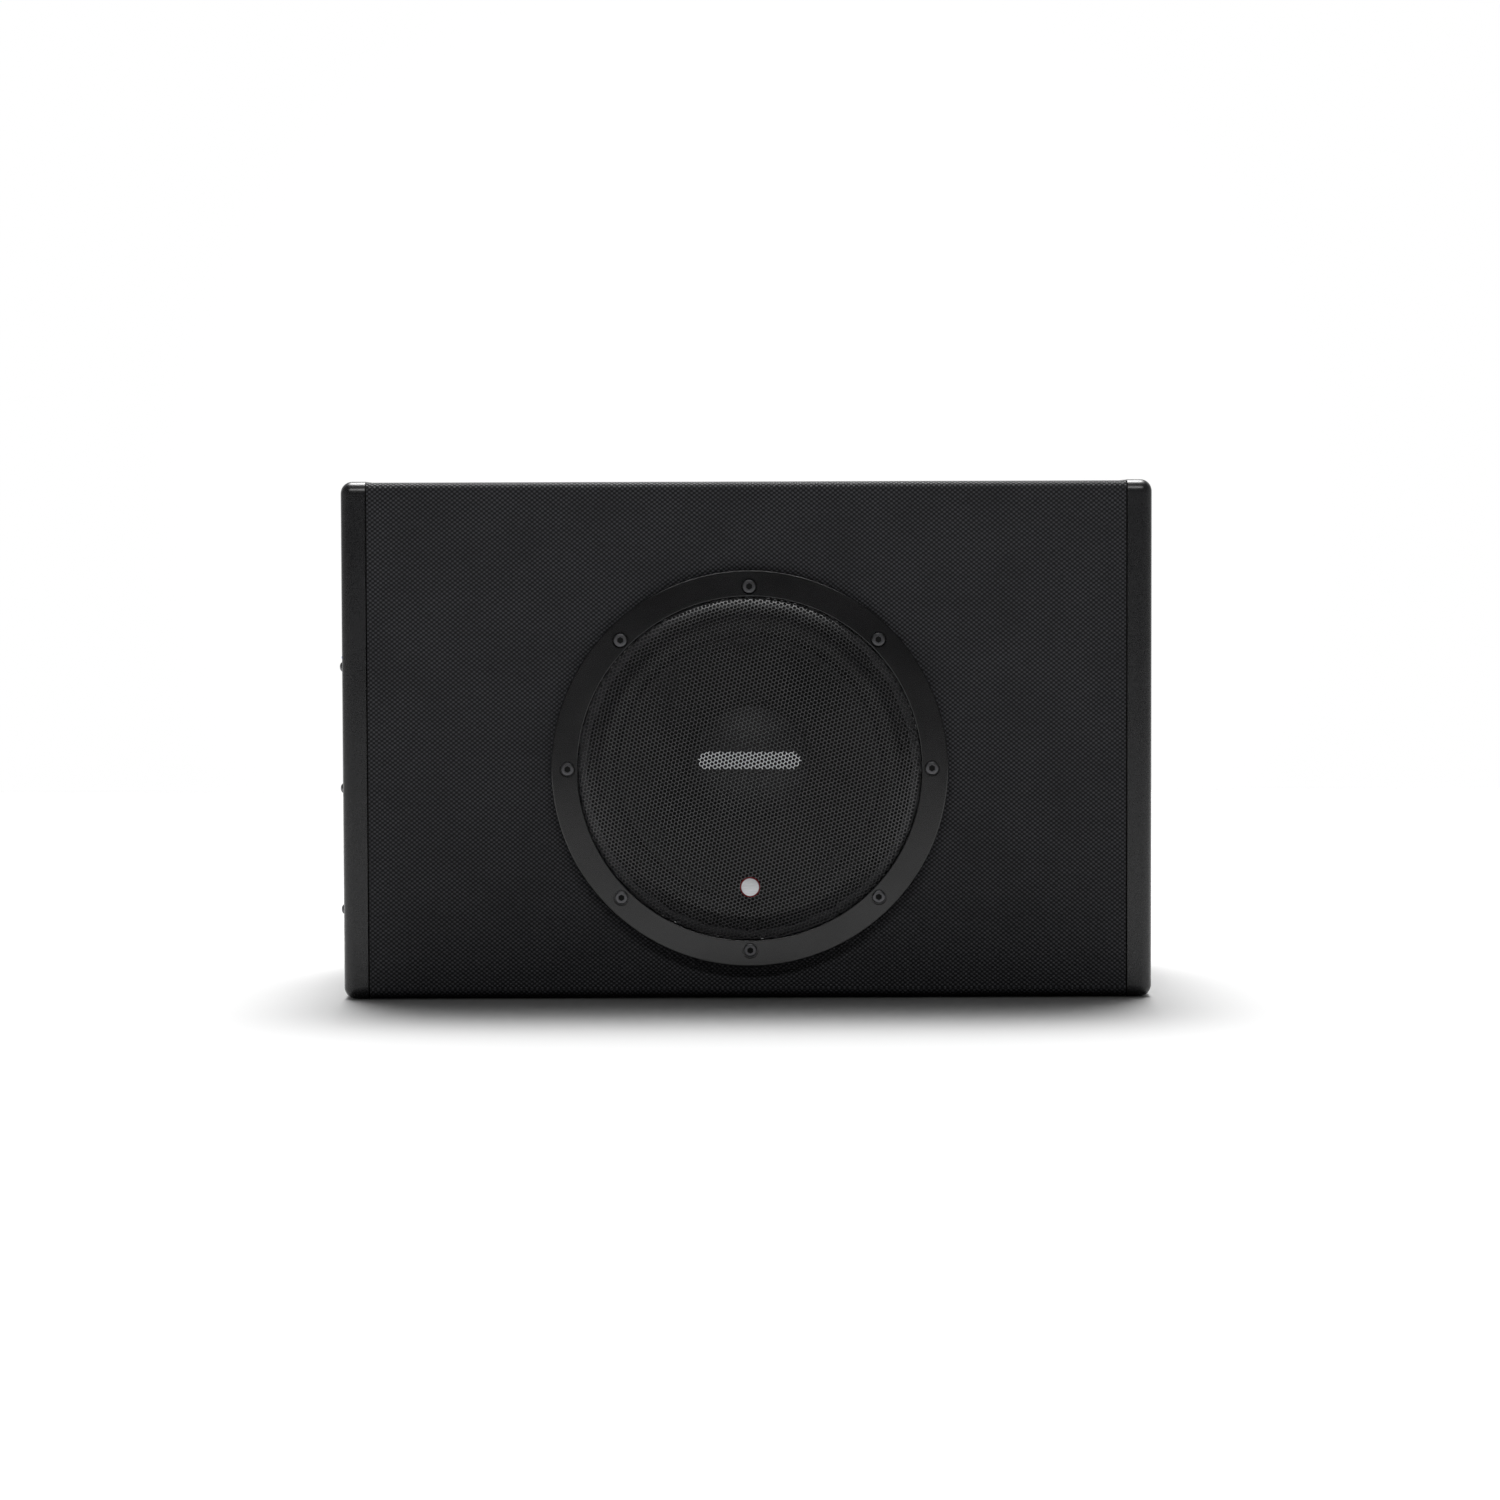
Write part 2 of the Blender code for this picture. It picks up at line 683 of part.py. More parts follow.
def make_terminals_and_leads():
    """The driver's terminal block, the two flexible leads to the coil, and the feed cable."""
    reach = DRIVER_X - 0.0645
    block(
        "terminal_block",
        (reach - 0.0090, -0.0600, DRIVER_Z - 0.0110),
        (reach, -0.0500, DRIVER_Z + 0.0110),
        "terminal_plastic",
        0.0008,
    )
    for name, side in (("tinsel_lead_positive", 1), ("tinsel_lead_negative", -1)):
        drop = DRIVER_Z + side * 0.0060
        route = [
            (DRIVER_X - 0.0690, -0.0605, drop),
            (DRIVER_X - 0.0697, -0.0665, drop),
            (DRIVER_X - 0.0672, -0.0722, drop),
            (DRIVER_X - 0.0600, -0.0752, drop),
            (DRIVER_X - 0.0520, -0.0762, drop),
            (DRIVER_X - 0.0470, -0.0795, drop),
        ]
        tube(name, route, 0.0006, 11, "copper")
    feed = [
        (-0.1975, 0.0300, 0.1000),
        (-0.1850, 0.0300, 0.1000),
        (-0.1650, 0.0300, 0.1000),
        (-0.1475, 0.0300, 0.1000),
        (-0.1300, 0.0290, 0.1005),
        (-0.1130, 0.0150, 0.1090),
        (-0.1020, -0.0150, 0.1200),
        (-0.0940, -0.0400, 0.1280),
        (-0.0850, -0.0530, DRIVER_Z),
        (DRIVER_X - 0.0742, -0.0550, DRIVER_Z),
    ]
    tube("speaker_cable", feed, 0.0022, 26, "cable")


# ---------------------------------------------------------------- front trim
def make_trim_ring():
    """The flat ring that clamps the grille, with a counterbore for each screw."""
    ease = 0.0008
    profile = [
        (RING_OUTER, -0.1073),
        (RING_OUTER, RING_FRONT_Y + ease),
        (RING_OUTER - ease, RING_FRONT_Y),
        (RING_INNER + ease, RING_FRONT_Y),
        (RING_INNER, RING_FRONT_Y + ease),
        (RING_INNER, -0.1079),
        (0.1003, -0.1079),
        (0.1003, -0.1064),
        (0.1075, -0.1064),
        (0.1075, -0.1073),
    ]
    ring = turned("trim_ring", profile, "Y", "ring_plastic", on_driver(), FRONT_STEPS)
    apply_boolean(
        ring, rods("cut_ring_bolts", bolt_places(), BOLT_HOLE, -0.12, -0.10, "Y", 8), "bolt_holes"
    )
    apply_boolean(
        ring, rods("cut_counterbores", bolt_places(), COUNTERBORE, -0.12, -0.1103, "Y", 12), "counterbores"
    )


def make_grille():
    """The perforated pan, kept plain here: a clamped rim, a round shoulder and a shallow face."""
    thick = 0.0008
    shoulder = 0.0850
    base_y = -0.1077
    outer = arc_points(shoulder, base_y, 0.0122, 0.0065, 0, 90, 4)
    inner = arc_points(shoulder, base_y, 0.0122 - thick, 0.0065 - thick, 90, 0, 4)
    crown_y = -0.1150
    profile = (
        [(0.0, crown_y), (0.050, crown_y + 0.0003)]
        + outer[::-1]
        + [(0.0972, -0.1074), (0.1000, -0.1074), (0.1000, -0.1065), (0.0964, -0.1065)]
        + inner[::-1]
        + [(0.050, crown_y + 0.0003 + thick), (0.0, crown_y + thick)]
    )
    turned("grille", profile, "Y", "mesh_steel", on_driver(), FRONT_STEPS)


def make_badge():
    """A plain round badge low on the grille."""
    radius = 0.0058
    profile = [
        (0.0, -0.1160),
        (radius - 0.0008, -0.1160),
        (radius, -0.1156),
        (radius, -0.1153),
        (0.0, -0.1153),
    ]
    turned("badge", profile, "Y", "badge", (DRIVER_X, 0, 0.0644), 32)


def make_screw(name, axis, head_at, profile, socket_at, location, wide, steps=10):
    """A screw turned from its profile, with a hexagon socket in its head."""
    screw = turned(name, profile, axis, "black_screw", location, steps)
    across = (location[1], location[2]) if axis == "X" else (location[0], location[2])
    past_head = head_at - 0.001
    apply_boolean(screw, rods("cut_" + name, [across], wide, past_head, socket_at, axis, 6), "socket")


def make_ring_screws():
    profile = [
        (0.0, -0.1123),
        (0.0032, -0.1123),
        (0.0038, -0.1118),
        (0.0038, -0.1105),
        (0.0019, -0.1105),
        (0.0019, -0.0956),
        (0.0, -0.0948),
    ]
    for index, (x, z) in enumerate(bolt_places(), 1):
        make_screw(f"ring_screw_{index}", "Y", -0.1123, profile, -0.1110, (x, 0, z), 0.0018)


# ---------------------------------------------------------------- amplifier
def make_amp_panel():
    """The panel: a flat flange that takes the screws, and a tub that sinks the controls."""
    outline = rounded_outline(
        (AMP_Y - AMP_HALF_Y, AMP_Z - AMP_HALF_Z), (AMP_Y + AMP_HALF_Y, AMP_Z + AMP_HALF_Z), 0.0055, 4
    )
    panel = extruded("amp_panel", outline, AMP_FACE_X, AMP_FACE_X + AMP_THICK, "amp_paint")
    shell = rounded_outline(
        (AMP_Y - TUB_HALF_Y - AMP_THICK, AMP_Z - TUB_HALF_Z - AMP_THICK),
        (AMP_Y + TUB_HALF_Y + AMP_THICK, AMP_Z + TUB_HALF_Z + AMP_THICK),
        0.0085,
        4,
    )
    tub = extruded("join_tub", shell, AMP_FACE_X + 0.001, TUB_FLOOR_X + AMP_THICK, None)
    apply_boolean(panel, tub, "tub", "UNION")
    hollow = rounded_outline(
        (AMP_Y - TUB_HALF_Y, AMP_Z - TUB_HALF_Z), (AMP_Y + TUB_HALF_Y, AMP_Z + TUB_HALF_Z), 0.006, 4
    )
    apply_boolean(panel, extruded("cut_tub", hollow, -0.24, TUB_FLOOR_X, None), "tub_hollow")
    screws = rods("cut_panel_screws", panel_screw_places(), SCREW_HOLE, -0.24, -0.22, "X", 10)
    apply_boolean(panel, screws, "screw_holes")
    apply_boolean(panel, rods("cut_led", [(LED_Y, LED_Z)], LED_HOLE, -0.24, -0.225, "X"), "led_hole")
    shafts = [(y, CONTROL_Z) for _, y in KNOBS]
    apply_boolean(panel, rods("cut_shafts", shafts, SHAFT_HOLE, -0.23, -0.21, "X"), "shaft_holes")
    jacks = [(y, SOCKET_Z) for _, y in JACKS]
    apply_boolean(panel, rods("cut_jacks", jacks, JACK_HOLE, -0.23, -0.21, "X"), "jack_holes")
    for label, y, z, half_y, half_z in PANEL_WINDOWS:
        cutter = block(
            "cut_" + label, (-0.23, y - half_y, z - half_z), (-0.21, y + half_y, z + half_z), None
        )
        apply_boolean(panel, cutter, label)


def make_amp_gasket():
    outline = rounded_outline(
        (AMP_Y - AMP_HALF_Y, AMP_Z - AMP_HALF_Z), (AMP_Y + AMP_HALF_Y, AMP_Z + AMP_HALF_Z), 0.0055, 3
    )
    gasket = extruded("amp_gasket", outline, -0.2274, -0.2262, "rubber")
    opening = rounded_outline(
        (AMP_Y - TUB_HALF_Y - 0.006, AMP_Z - TUB_HALF_Z - 0.006),
        (AMP_Y + TUB_HALF_Y + 0.006, AMP_Z + TUB_HALF_Z + 0.006),
        0.006,
        3,
    )
    apply_boolean(gasket, extruded("cut_gasket_bay", opening, -0.24, -0.21, None), "opening")
    holes = rods("cut_gasket_screws", panel_screw_places(), SCREW_HOLE, -0.24, -0.21, "X", 8)
    apply_boolean(gasket, holes, "screw_holes")


def make_knobs():
    """Low knobs on round shafts. Each one's origin lies on its own axis."""
    for name, y in KNOBS:
        profile = [
            (0.0, -0.2290),
            (0.0050, -0.2290),
            (0.0056, -0.2284),
            (0.0060, -0.2236),
            (0.0030, -0.2236),
            (0.0030, -0.2006),
            (0.0, -0.2006),
        ]
        knob = turned(name, profile, "X", "knob", (0, y, CONTROL_Z), 16)
        slot = block(
            "cut_mark_" + name,
            (-0.2295, y - 0.0005, CONTROL_Z + 0.0012),
            (-0.2283, y + 0.0005, CONTROL_Z + 0.0065),
            None,
        )
        apply_boolean(knob, slot, "pointer")


def make_phase_switch():
    block(
        "phase_switch",
        (-0.2275, -0.0022, -0.0019),
        (-0.2190, 0.0022, 0.0019),
        "knob",
        0.0003,
        (0, SWITCH_Y, CONTROL_Z),
    )


def make_jacks():
    """Phono sockets: a gold barrel with a centre hole, and a wider body behind the panel."""
    profile = [
        (0.0, -0.2300),
        (0.0041, -0.2300),
        (0.0041, -0.2204),
        (0.0062, -0.2204),
        (0.0062, -0.2006),
        (0.0, -0.2006),
    ]
    for name, y in JACKS:
        jack = turned(name, profile, "X", "gold", (0, y, SOCKET_Z), 16)
        bore = rods("cut_" + name, [(y, SOCKET_Z)], 0.0016, -0.2310, -0.2215, "X", 10)
        apply_boolean(jack, bore, "bore")


def make_sockets():
    """Power terminals with three wire entries and a fuse recess, and two rectangular sockets."""
    power = block(
        "power_terminal_block",
        (-0.2290, POWER_Y - 0.0300, POWER_Z - 0.0110),
        (BOARD_FACE_X - 0.0006, POWER_Y + 0.0300, POWER_Z + 0.0110),
        "terminal_plastic",
    )
    for index, offset in enumerate((-0.0220, -0.0090, 0.0040)):
        y = POWER_Y + offset
        entry = block(
            f"cut_wire_entry_{index}",
            (-0.2300, y - 0.0042, POWER_Z - 0.0060),
            (-0.2170, y + 0.0042, POWER_Z + 0.0040),
            None,
        )
        apply_boolean(power, entry, f"wire_entry_{index}")
    y = POWER_Y + 0.0210
    recess = block(
        "cut_fuse_recess",
        (-0.2300, y - 0.0033, POWER_Z - 0.0098),
        (-0.2180, y + 0.0033, POWER_Z + 0.0098),
        None,
    )
    apply_boolean(power, recess, "fuse_recess")
    block(
        "fuse",
        (-0.2298, y - 0.0026, POWER_Z - 0.0093),
        (-0.2185, y + 0.0026, POWER_Z + 0.0093),
        "fuse_plastic",
        0.0006,
    )
    for name, y, half_y, half_z, open_y, open_z in (
        ("speaker_level_socket", SPEAKER_Y, 0.0110, 0.0060, 0.0090, 0.0041),
        ("remote_port", REMOTE_Y, 0.0065, 0.0060, 0.0048, 0.0041),
    ):
        socket = block(
            name,
            (-0.2285, y - half_y, SOCKET_Z - half_z),
            (BOARD_FACE_X - 0.0006, y + half_y, SOCKET_Z + half_z),
            "terminal_plastic",
        )
        mouth = block(
            "cut_mouth_" + name,
            (-0.2300, y - open_y, SOCKET_Z - open_z),
            (-0.2195, y + open_y, SOCKET_Z + open_z),
            None,
        )
        apply_boolean(socket, mouth, "mouth")


def make_led():
    profile = [
        (0.0, -0.2314),
        (0.0009, -0.2312),
        (0.0014, -0.2306),
        (0.0015, -0.2299),
        (0.0015, -0.2277),
        (0.0, -0.2277),
    ]
    turned("power_led", profile, "X", "led_lens", (0, LED_Y, LED_Z), 14)


def make_panel_screws():
    profile = [
        (0.0, -0.2327),
        (0.0017, -0.2325),
        (0.0027, -0.2317),
        (0.0030, -0.2305),
        (0.0016, -0.2305),
        (0.0016, -0.2202),
        (0.0, -0.2194),
    ]
    for index, (y, z) in enumerate(panel_screw_places(), 1):
        make_screw(f"panel_screw_{index}", "X", -0.2327, profile, -0.2313, (0, y, z), 0.0012)


def make_amp_insides():
    """Circuit board, finned heat sink, choke and capacitor."""
    block(
        "circuit_board",
        (BOARD_FACE_X, AMP_Y - 0.0780, AMP_Z - 0.0580),
        (BOARD_FACE_X + 0.0016, AMP_Y + 0.0780, AMP_Z + 0.0580),
        "board_green",
    )
    make_heat_sink()
    ring = []
    for index in range(8):
        angle = math.tau * index / 8
        ring.append((0.0110 + 0.0045 * math.cos(angle), 0.0060 * math.sin(angle)))
    low_x = BOARD_FACE_X + 0.0016 + GAP + 0.0060
    turned("toroid_inductor", ring, "X", "choke", (low_x, 0.0550, 0.1450), 18)
    can = [(0.0, 0.0), (0.0080, 0.0), (0.0080, 0.0300), (0.0074, 0.0306), (0.0, 0.0306)]
    turned(
        "capacitor", can, "X", "sleeve", (BOARD_FACE_X + 0.0016 + GAP, 0.0150, 0.1500), 20
    )


def make_heat_sink():
    """An extrusion with upright fins, drawn as one comb outline."""
    base_x = BOARD_FACE_X + 0.0016 + GAP
    low_z, high_z = AMP_Z - 0.0450, AMP_Z + 0.0450
    low_y = AMP_Y - 0.0760
    fins = 8
    pitch = 0.0058
    outline = [(low_y, base_x)]
    for index in range(fins):
        start = low_y + index * pitch
        outline += [(start, base_x + 0.0220), (start + 0.0020, base_x + 0.0220)]
        if index < fins - 1:
            outline += [(start + 0.0020, base_x + 0.0040), (start + pitch, base_x + 0.0040)]
    outline.append((low_y + (fins - 1) * pitch + 0.0020, base_x))
    shape = bmesh.new()
    face = shape.faces.new([shape.verts.new((x, y, low_z)) for y, x in outline])
    drawn = bmesh.ops.extrude_face_region(shape, geom=[face])
    moved = [item for item in drawn["geom"] if isinstance(item, bmesh.types.BMVert)]
    bmesh.ops.translate(shape, vec=(0, 0, high_z - low_z), verts=moved)
    bmesh.ops.recalc_face_normals(shape, faces=shape.faces[:])
    new_object("heat_sink", shape, "aluminium")


# ---------------------------------------------------------------- build
def main():
    clear_scene()
    make_boards()
    make_side_panels()
    open_cap_for_amp(make_end_cap("left_end_cap", -1))
    make_end_cap("right_end_cap", 1)
    make_wrap()
    make_divider_and_padding()
    make_basket()
    make_gasket()
    make_surround()
    make_cone()
    make_dust_cap()
    make_voice_coil()
    make_spider()
    make_motor()
    make_terminals_and_leads()
    make_trim_ring()
    make_grille()
    make_badge()
    make_ring_screws()
    make_amp_panel()
    make_amp_gasket()
    make_knobs()
    make_phase_switch()
    make_jacks()
    make_sockets()
    make_led()
    make_panel_screws()
    make_amp_insides()


main()
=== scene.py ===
# %% [markdown]
# # A powered car subwoofer, finished in Blender
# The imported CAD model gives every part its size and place. This lesson gives each of them the
# surface that its owner would see and touch: vinyl with a woven face, moulded plastic, a steel
# mesh, a rubber surround and a sunk amplifier panel. Each section says what the piece is on the
# real object, how it could be made, and why one way was chosen.

# %% The frame that every piece is built round
import json
import math

import bmesh
import bpy
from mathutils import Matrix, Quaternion, Vector
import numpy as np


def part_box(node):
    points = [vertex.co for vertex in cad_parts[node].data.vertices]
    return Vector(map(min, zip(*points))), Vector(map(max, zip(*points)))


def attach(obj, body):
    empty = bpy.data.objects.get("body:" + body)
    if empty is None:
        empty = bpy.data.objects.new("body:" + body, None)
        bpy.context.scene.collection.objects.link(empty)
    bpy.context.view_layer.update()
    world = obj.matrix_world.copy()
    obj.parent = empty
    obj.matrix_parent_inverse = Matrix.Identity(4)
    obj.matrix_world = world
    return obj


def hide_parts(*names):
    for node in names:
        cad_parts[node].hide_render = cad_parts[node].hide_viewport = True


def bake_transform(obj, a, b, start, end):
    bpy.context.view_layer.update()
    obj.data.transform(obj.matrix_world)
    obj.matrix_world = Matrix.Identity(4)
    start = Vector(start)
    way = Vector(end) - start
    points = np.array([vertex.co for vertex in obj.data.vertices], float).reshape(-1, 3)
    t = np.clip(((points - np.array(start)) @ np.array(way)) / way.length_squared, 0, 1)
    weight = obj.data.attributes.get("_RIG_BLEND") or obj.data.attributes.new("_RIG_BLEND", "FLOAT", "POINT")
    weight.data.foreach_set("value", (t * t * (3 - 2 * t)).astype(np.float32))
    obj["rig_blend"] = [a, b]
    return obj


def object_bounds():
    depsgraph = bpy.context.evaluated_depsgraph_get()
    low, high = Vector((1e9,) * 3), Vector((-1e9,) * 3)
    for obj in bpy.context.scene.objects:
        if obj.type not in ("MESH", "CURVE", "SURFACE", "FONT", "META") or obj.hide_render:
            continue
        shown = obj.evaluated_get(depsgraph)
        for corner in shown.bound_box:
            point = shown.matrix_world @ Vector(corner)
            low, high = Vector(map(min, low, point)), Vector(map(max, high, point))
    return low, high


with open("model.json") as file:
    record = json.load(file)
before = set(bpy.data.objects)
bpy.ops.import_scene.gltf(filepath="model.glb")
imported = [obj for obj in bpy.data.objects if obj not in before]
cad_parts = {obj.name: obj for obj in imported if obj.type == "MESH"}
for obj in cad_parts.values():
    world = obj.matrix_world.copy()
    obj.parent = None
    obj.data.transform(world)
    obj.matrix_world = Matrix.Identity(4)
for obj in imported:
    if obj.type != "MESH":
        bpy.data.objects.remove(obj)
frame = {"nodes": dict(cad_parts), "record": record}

cad_low, cad_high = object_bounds()
print("CAD box, metres:", [round(side, 4) for side in cad_high - cad_low])

# %% [markdown]
# ## Where things are
# The driver's axis and the amplifier's panel are read from the CAD nodes, so that nothing has to
# be fitted afterwards. The driver's axis runs along Y and the amplifier looks towards -X.

# %% Places read from the frame
ring_low, ring_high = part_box("trim_ring")
DRIVER = Vector(((ring_low.x + ring_high.x) / 2, 0, (ring_low.z + ring_high.z) / 2))
panel_low, panel_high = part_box("amp_panel")
AMP_Y = (panel_low.y + panel_high.y) / 2
AMP_Z = (panel_low.z + panel_high.z) / 2
AMP_FACE = panel_low.x
print("driver axis at x, z:", round(DRIVER.x, 4), round(DRIVER.z, 4))
print("amplifier middle at y, z:", round(AMP_Y, 4), round(AMP_Z, 4))

# %% [markdown]
# ## Working as by hand
# Blender's operators act on whatever is selected, so each step first puts one piece in hand and
# then picks faces or edges by their place or the way they face. These helpers do only that.


# %% One piece in hand
def in_hand(piece=None):
    """Object mode, with this piece alone selected, or nothing."""
    if bpy.context.mode != "OBJECT":
        bpy.ops.object.mode_set(mode="OBJECT")
    bpy.ops.object.select_all(action="DESELECT")
    if piece:
        piece.select_set(True)
        bpy.context.view_layer.objects.active = piece
    return piece


def pick(piece, kind, test):
    """Goes into edit mode and selects the vertices, edges or faces that pass a test."""
    if bpy.context.mode != "EDIT_MESH":
        in_hand(piece)
        bpy.ops.object.mode_set(mode="EDIT")
    bpy.ops.mesh.select_mode(type=kind)
    bpy.ops.mesh.select_all(action="DESELECT")
    shape = bmesh.from_edit_mesh(piece.data)
    parts = {"VERT": shape.verts, "EDGE": shape.edges, "FACE": shape.faces}[kind]
    found = [part for part in parts if test(part)]
    for part in found:
        part.select_set(True)
    shape.select_flush_mode()
    bmesh.update_edit_mesh(piece.data)
    return len(found)


def all_of(piece):
    return pick(piece, "FACE", lambda face: True)


# %% Starting shapes, with their place in the mesh
def settled(name):
    """Names the new primitive and moves its size, turn and place into its mesh."""
    piece = bpy.context.active_object
    piece.name = name
    piece.data.name = name
    bpy.ops.object.transform_apply(location=True, rotation=True, scale=True)
    return piece


def box_between(name, low, high):
    in_hand()
    low, high = Vector(low), Vector(high)
    bpy.ops.mesh.primitive_cube_add(size=1, location=(low + high) / 2, scale=high - low)
    return settled(name)


TURN = {"X": (0, math.pi / 2, 0), "Y": (math.pi / 2, 0, 0), "Z": (0, 0, 0)}
ALONG = {"X": Vector((1, 0, 0)), "Y": Vector((0, 1, 0)), "Z": Vector((0, 0, 1))}


def rod(name, start, length, radius, axis, sides=32, tip=None):
    """A cylinder from a start point along an axis, or a cone if its tip has another radius."""
    in_hand()
    bpy.ops.mesh.primitive_cone_add(
        vertices=sides,
        radius1=radius,
        radius2=radius if tip is None else tip,
        depth=length,
        location=Vector(start) + ALONG[axis] * length / 2,
        rotation=TURN[axis],
    )
    return settled(name)


# %% Lathe work
def turned(name, outline, centre, axis, steps=96):
    """Draws a (radius, height) line by extruding one point, then spins it round an axis."""
    across = Vector((0, 1, 0)) if axis == "X" else Vector((1, 0, 0))
    points = [centre + across * radius + ALONG[axis] * height for radius, height in outline]
    in_hand()
    bpy.ops.mesh.primitive_plane_add(size=0.001)
    piece = settled(name)
    bpy.ops.object.mode_set(mode="EDIT")
    bpy.ops.mesh.select_mode(type="VERT")
    bpy.ops.mesh.select_all(action="SELECT")
    bpy.ops.mesh.merge(type="CENTER")
    bpy.ops.transform.translate(value=points[0])
    for here, there in zip(points, points[1:]):
        bpy.ops.mesh.extrude_vertices_move(TRANSFORM_OT_translate={"value": there - here})
    bpy.ops.mesh.select_all(action="SELECT")
    bpy.ops.mesh.spin(steps=steps, angle=math.tau, center=centre, axis=ALONG[axis])
    tidy_surface(piece)
    return piece


def tidy_surface(piece):
    """Closes seams and poles, then turns every face outwards."""
    all_of(piece)
    bpy.ops.mesh.remove_doubles(threshold=1e-6)
    bpy.ops.mesh.normals_make_consistent(inside=False)
    in_hand(piece)


def arc(centre, half_width, height, start, end, steps):
    """Points of a flattened arc in a (radius, height) outline, with angles in degrees."""
    points = []
    for step in range(steps + 1):
        angle = math.radians(start + (end - start) * step / steps)
        points.append(
            (centre[0] + half_width * math.cos(angle), centre[1] + height * math.sin(angle))
        )
    return points


# %% Modifiers, cutting and copying
def apply_modifier(piece, kind, **settings):
    in_hand(piece)
    modifier = piece.modifiers.new(kind.lower(), kind)
    for key, value in settings.items():
        setattr(modifier, key, value)
    bpy.ops.object.modifier_apply(modifier=modifier.name)
    return piece


def joined(pieces, name):
    """Several shapes as one object."""
    in_hand(pieces[0])
    for piece in pieces:
        piece.select_set(True)
    if len(pieces) > 1:
        bpy.ops.object.join()
    pieces[0].name = name
    return pieces[0]


def cut_out(piece, tools):
    """Takes the tools' shapes out of a piece and throws the tools away."""
    tool = joined(tools, piece.name + "_tool")
    apply_modifier(piece, "BOOLEAN", object=tool, operation="DIFFERENCE", solver="EXACT")
    bpy.data.objects.remove(tool, do_unlink=True)
    return piece


def copy_of(piece, name, shift):
    """A copy with its own mesh, moved by a distance."""
    in_hand(piece)
    bpy.ops.object.duplicate_move(TRANSFORM_OT_translate={"value": shift})
    return settled(name)


def bevel_picked(width, segments=3, corners=False):
    bpy.ops.mesh.bevel(
        offset=width,
        offset_type="OFFSET",
        segments=segments,
        profile=0.5,
        affect="VERTICES" if corners else "EDGES",
        clamp_overlap=True,
    )


# %% Handing a piece over to the frame
pieces_made = []


def finish(piece, body, finishes, nodes=(), smooth=35, weighted=True):
    """Smooths a piece, gives it its materials, and says what it rides on and replaces."""
    in_hand(piece)
    for material in finishes if isinstance(finishes, (list, tuple)) else [finishes]:
        if material.name not in piece.data.materials:
            piece.data.materials.append(material)
    bpy.ops.object.shade_smooth_by_angle(angle=math.radians(smooth))
    if weighted:
        apply_modifier(piece, "WEIGHTED_NORMAL", keep_sharp=True)
    if body:
        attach(piece, body)
    if nodes:
        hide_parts(*nodes)
    pieces_made.append(piece)
    triangles = sum(len(face.vertices) - 2 for face in piece.data.polygons)
    print(piece.name, "has", triangles, "triangles")
    return piece


# %% [markdown]
# ## Finishes that share one recipe
# Moulded plastic, powder coat and rubber look alike from far off and differ in their grain: how
# fine it is, how deep, and how much it breaks up the gloss. One recipe covers them. A noise
# pattern in the piece's own metres drives a little colour change, the roughness and a bump.
# Numbers that are the same all over stay on the shader's own sockets.


# %% Node helpers
def new_material(name, colour, roughness, metallic=0.0, **sockets):
    material = bpy.data.materials.new(name)
    material.use_nodes = True
    shader = material.node_tree.nodes["Principled BSDF"]
    shader.inputs["Base Color"].default_value = (*colour, 1.0)
    shader.inputs["Roughness"].default_value = roughness
    shader.inputs["Metallic"].default_value = metallic
    for socket, value in sockets.items():
        shader.inputs[socket.replace("_", " ")].default_value = value
    material.diffuse_color = (*colour, 1.0)
    return material


def node(material, kind, inputs=(), **settings):
    """Adds a node, sets its own settings, then its inputs by number, from values or outputs."""
    made = material.node_tree.nodes.new("ShaderNode" + kind)
    for key, value in settings.items():
        setattr(made, key, value)
    for place, value in dict(inputs).items():
        if isinstance(value, bpy.types.NodeSocket):
            material.node_tree.links.new(value, made.inputs[place])
        else:
            made.inputs[place].default_value = value
    return made


def feed(material, socket, output):
    shader = material.node_tree.nodes["Principled BSDF"]
    material.node_tree.links.new(output, shader.inputs[socket])


def object_place(material, stretch=(1, 1, 1), middle=(0, 0, 0)):
    """The piece's own coordinates in metres, centred and stretched."""
    place = node(material, "TexCoord").outputs["Object"]
    centred = node(material, "Mapping", {0: place, 1: [-value for value in middle]})
    return node(material, "Mapping", {0: centred.outputs[0], 3: stretch}).outputs[0]


def maths(material, operation, first, second=0.0, third=0.0):
    made = node(material, "Math", {0: first, 1: second, 2: third}, operation=operation)
    return made.outputs[0]


def between(material, value, low, high, to_low, to_high, smooth=False):
    """Maps one range of numbers on to another."""
    made = node(
        material,
        "MapRange",
        {0: value, 1: low, 2: high, 3: to_low, 4: to_high},
        interpolation_type="SMOOTHSTEP" if smooth else "LINEAR",
    )
    return made.outputs[0]


def tint(material, amount, dark, light):
    """A colour between two, by an amount from 0 to 1."""
    made = node(material, "Mix", {0: amount, 6: (*dark, 1.0), 7: (*light, 1.0)}, data_type="RGBA")
    return made.outputs[2]


def bump(material, height, depth, under=None):
    """A bump whose full height is a depth in metres, over another bump if one is given."""
    made = node(material, "Bump", {0: 1.0, 1: depth, "Height": height})
    if under:
        material.node_tree.links.new(under, made.inputs["Normal"])
    return made.outputs[0]


def shades(colour, change):
    """A darker and a lighter tone of one colour."""
    return [value * (1 - change) for value in colour], [value * (1 + change) for value in colour]


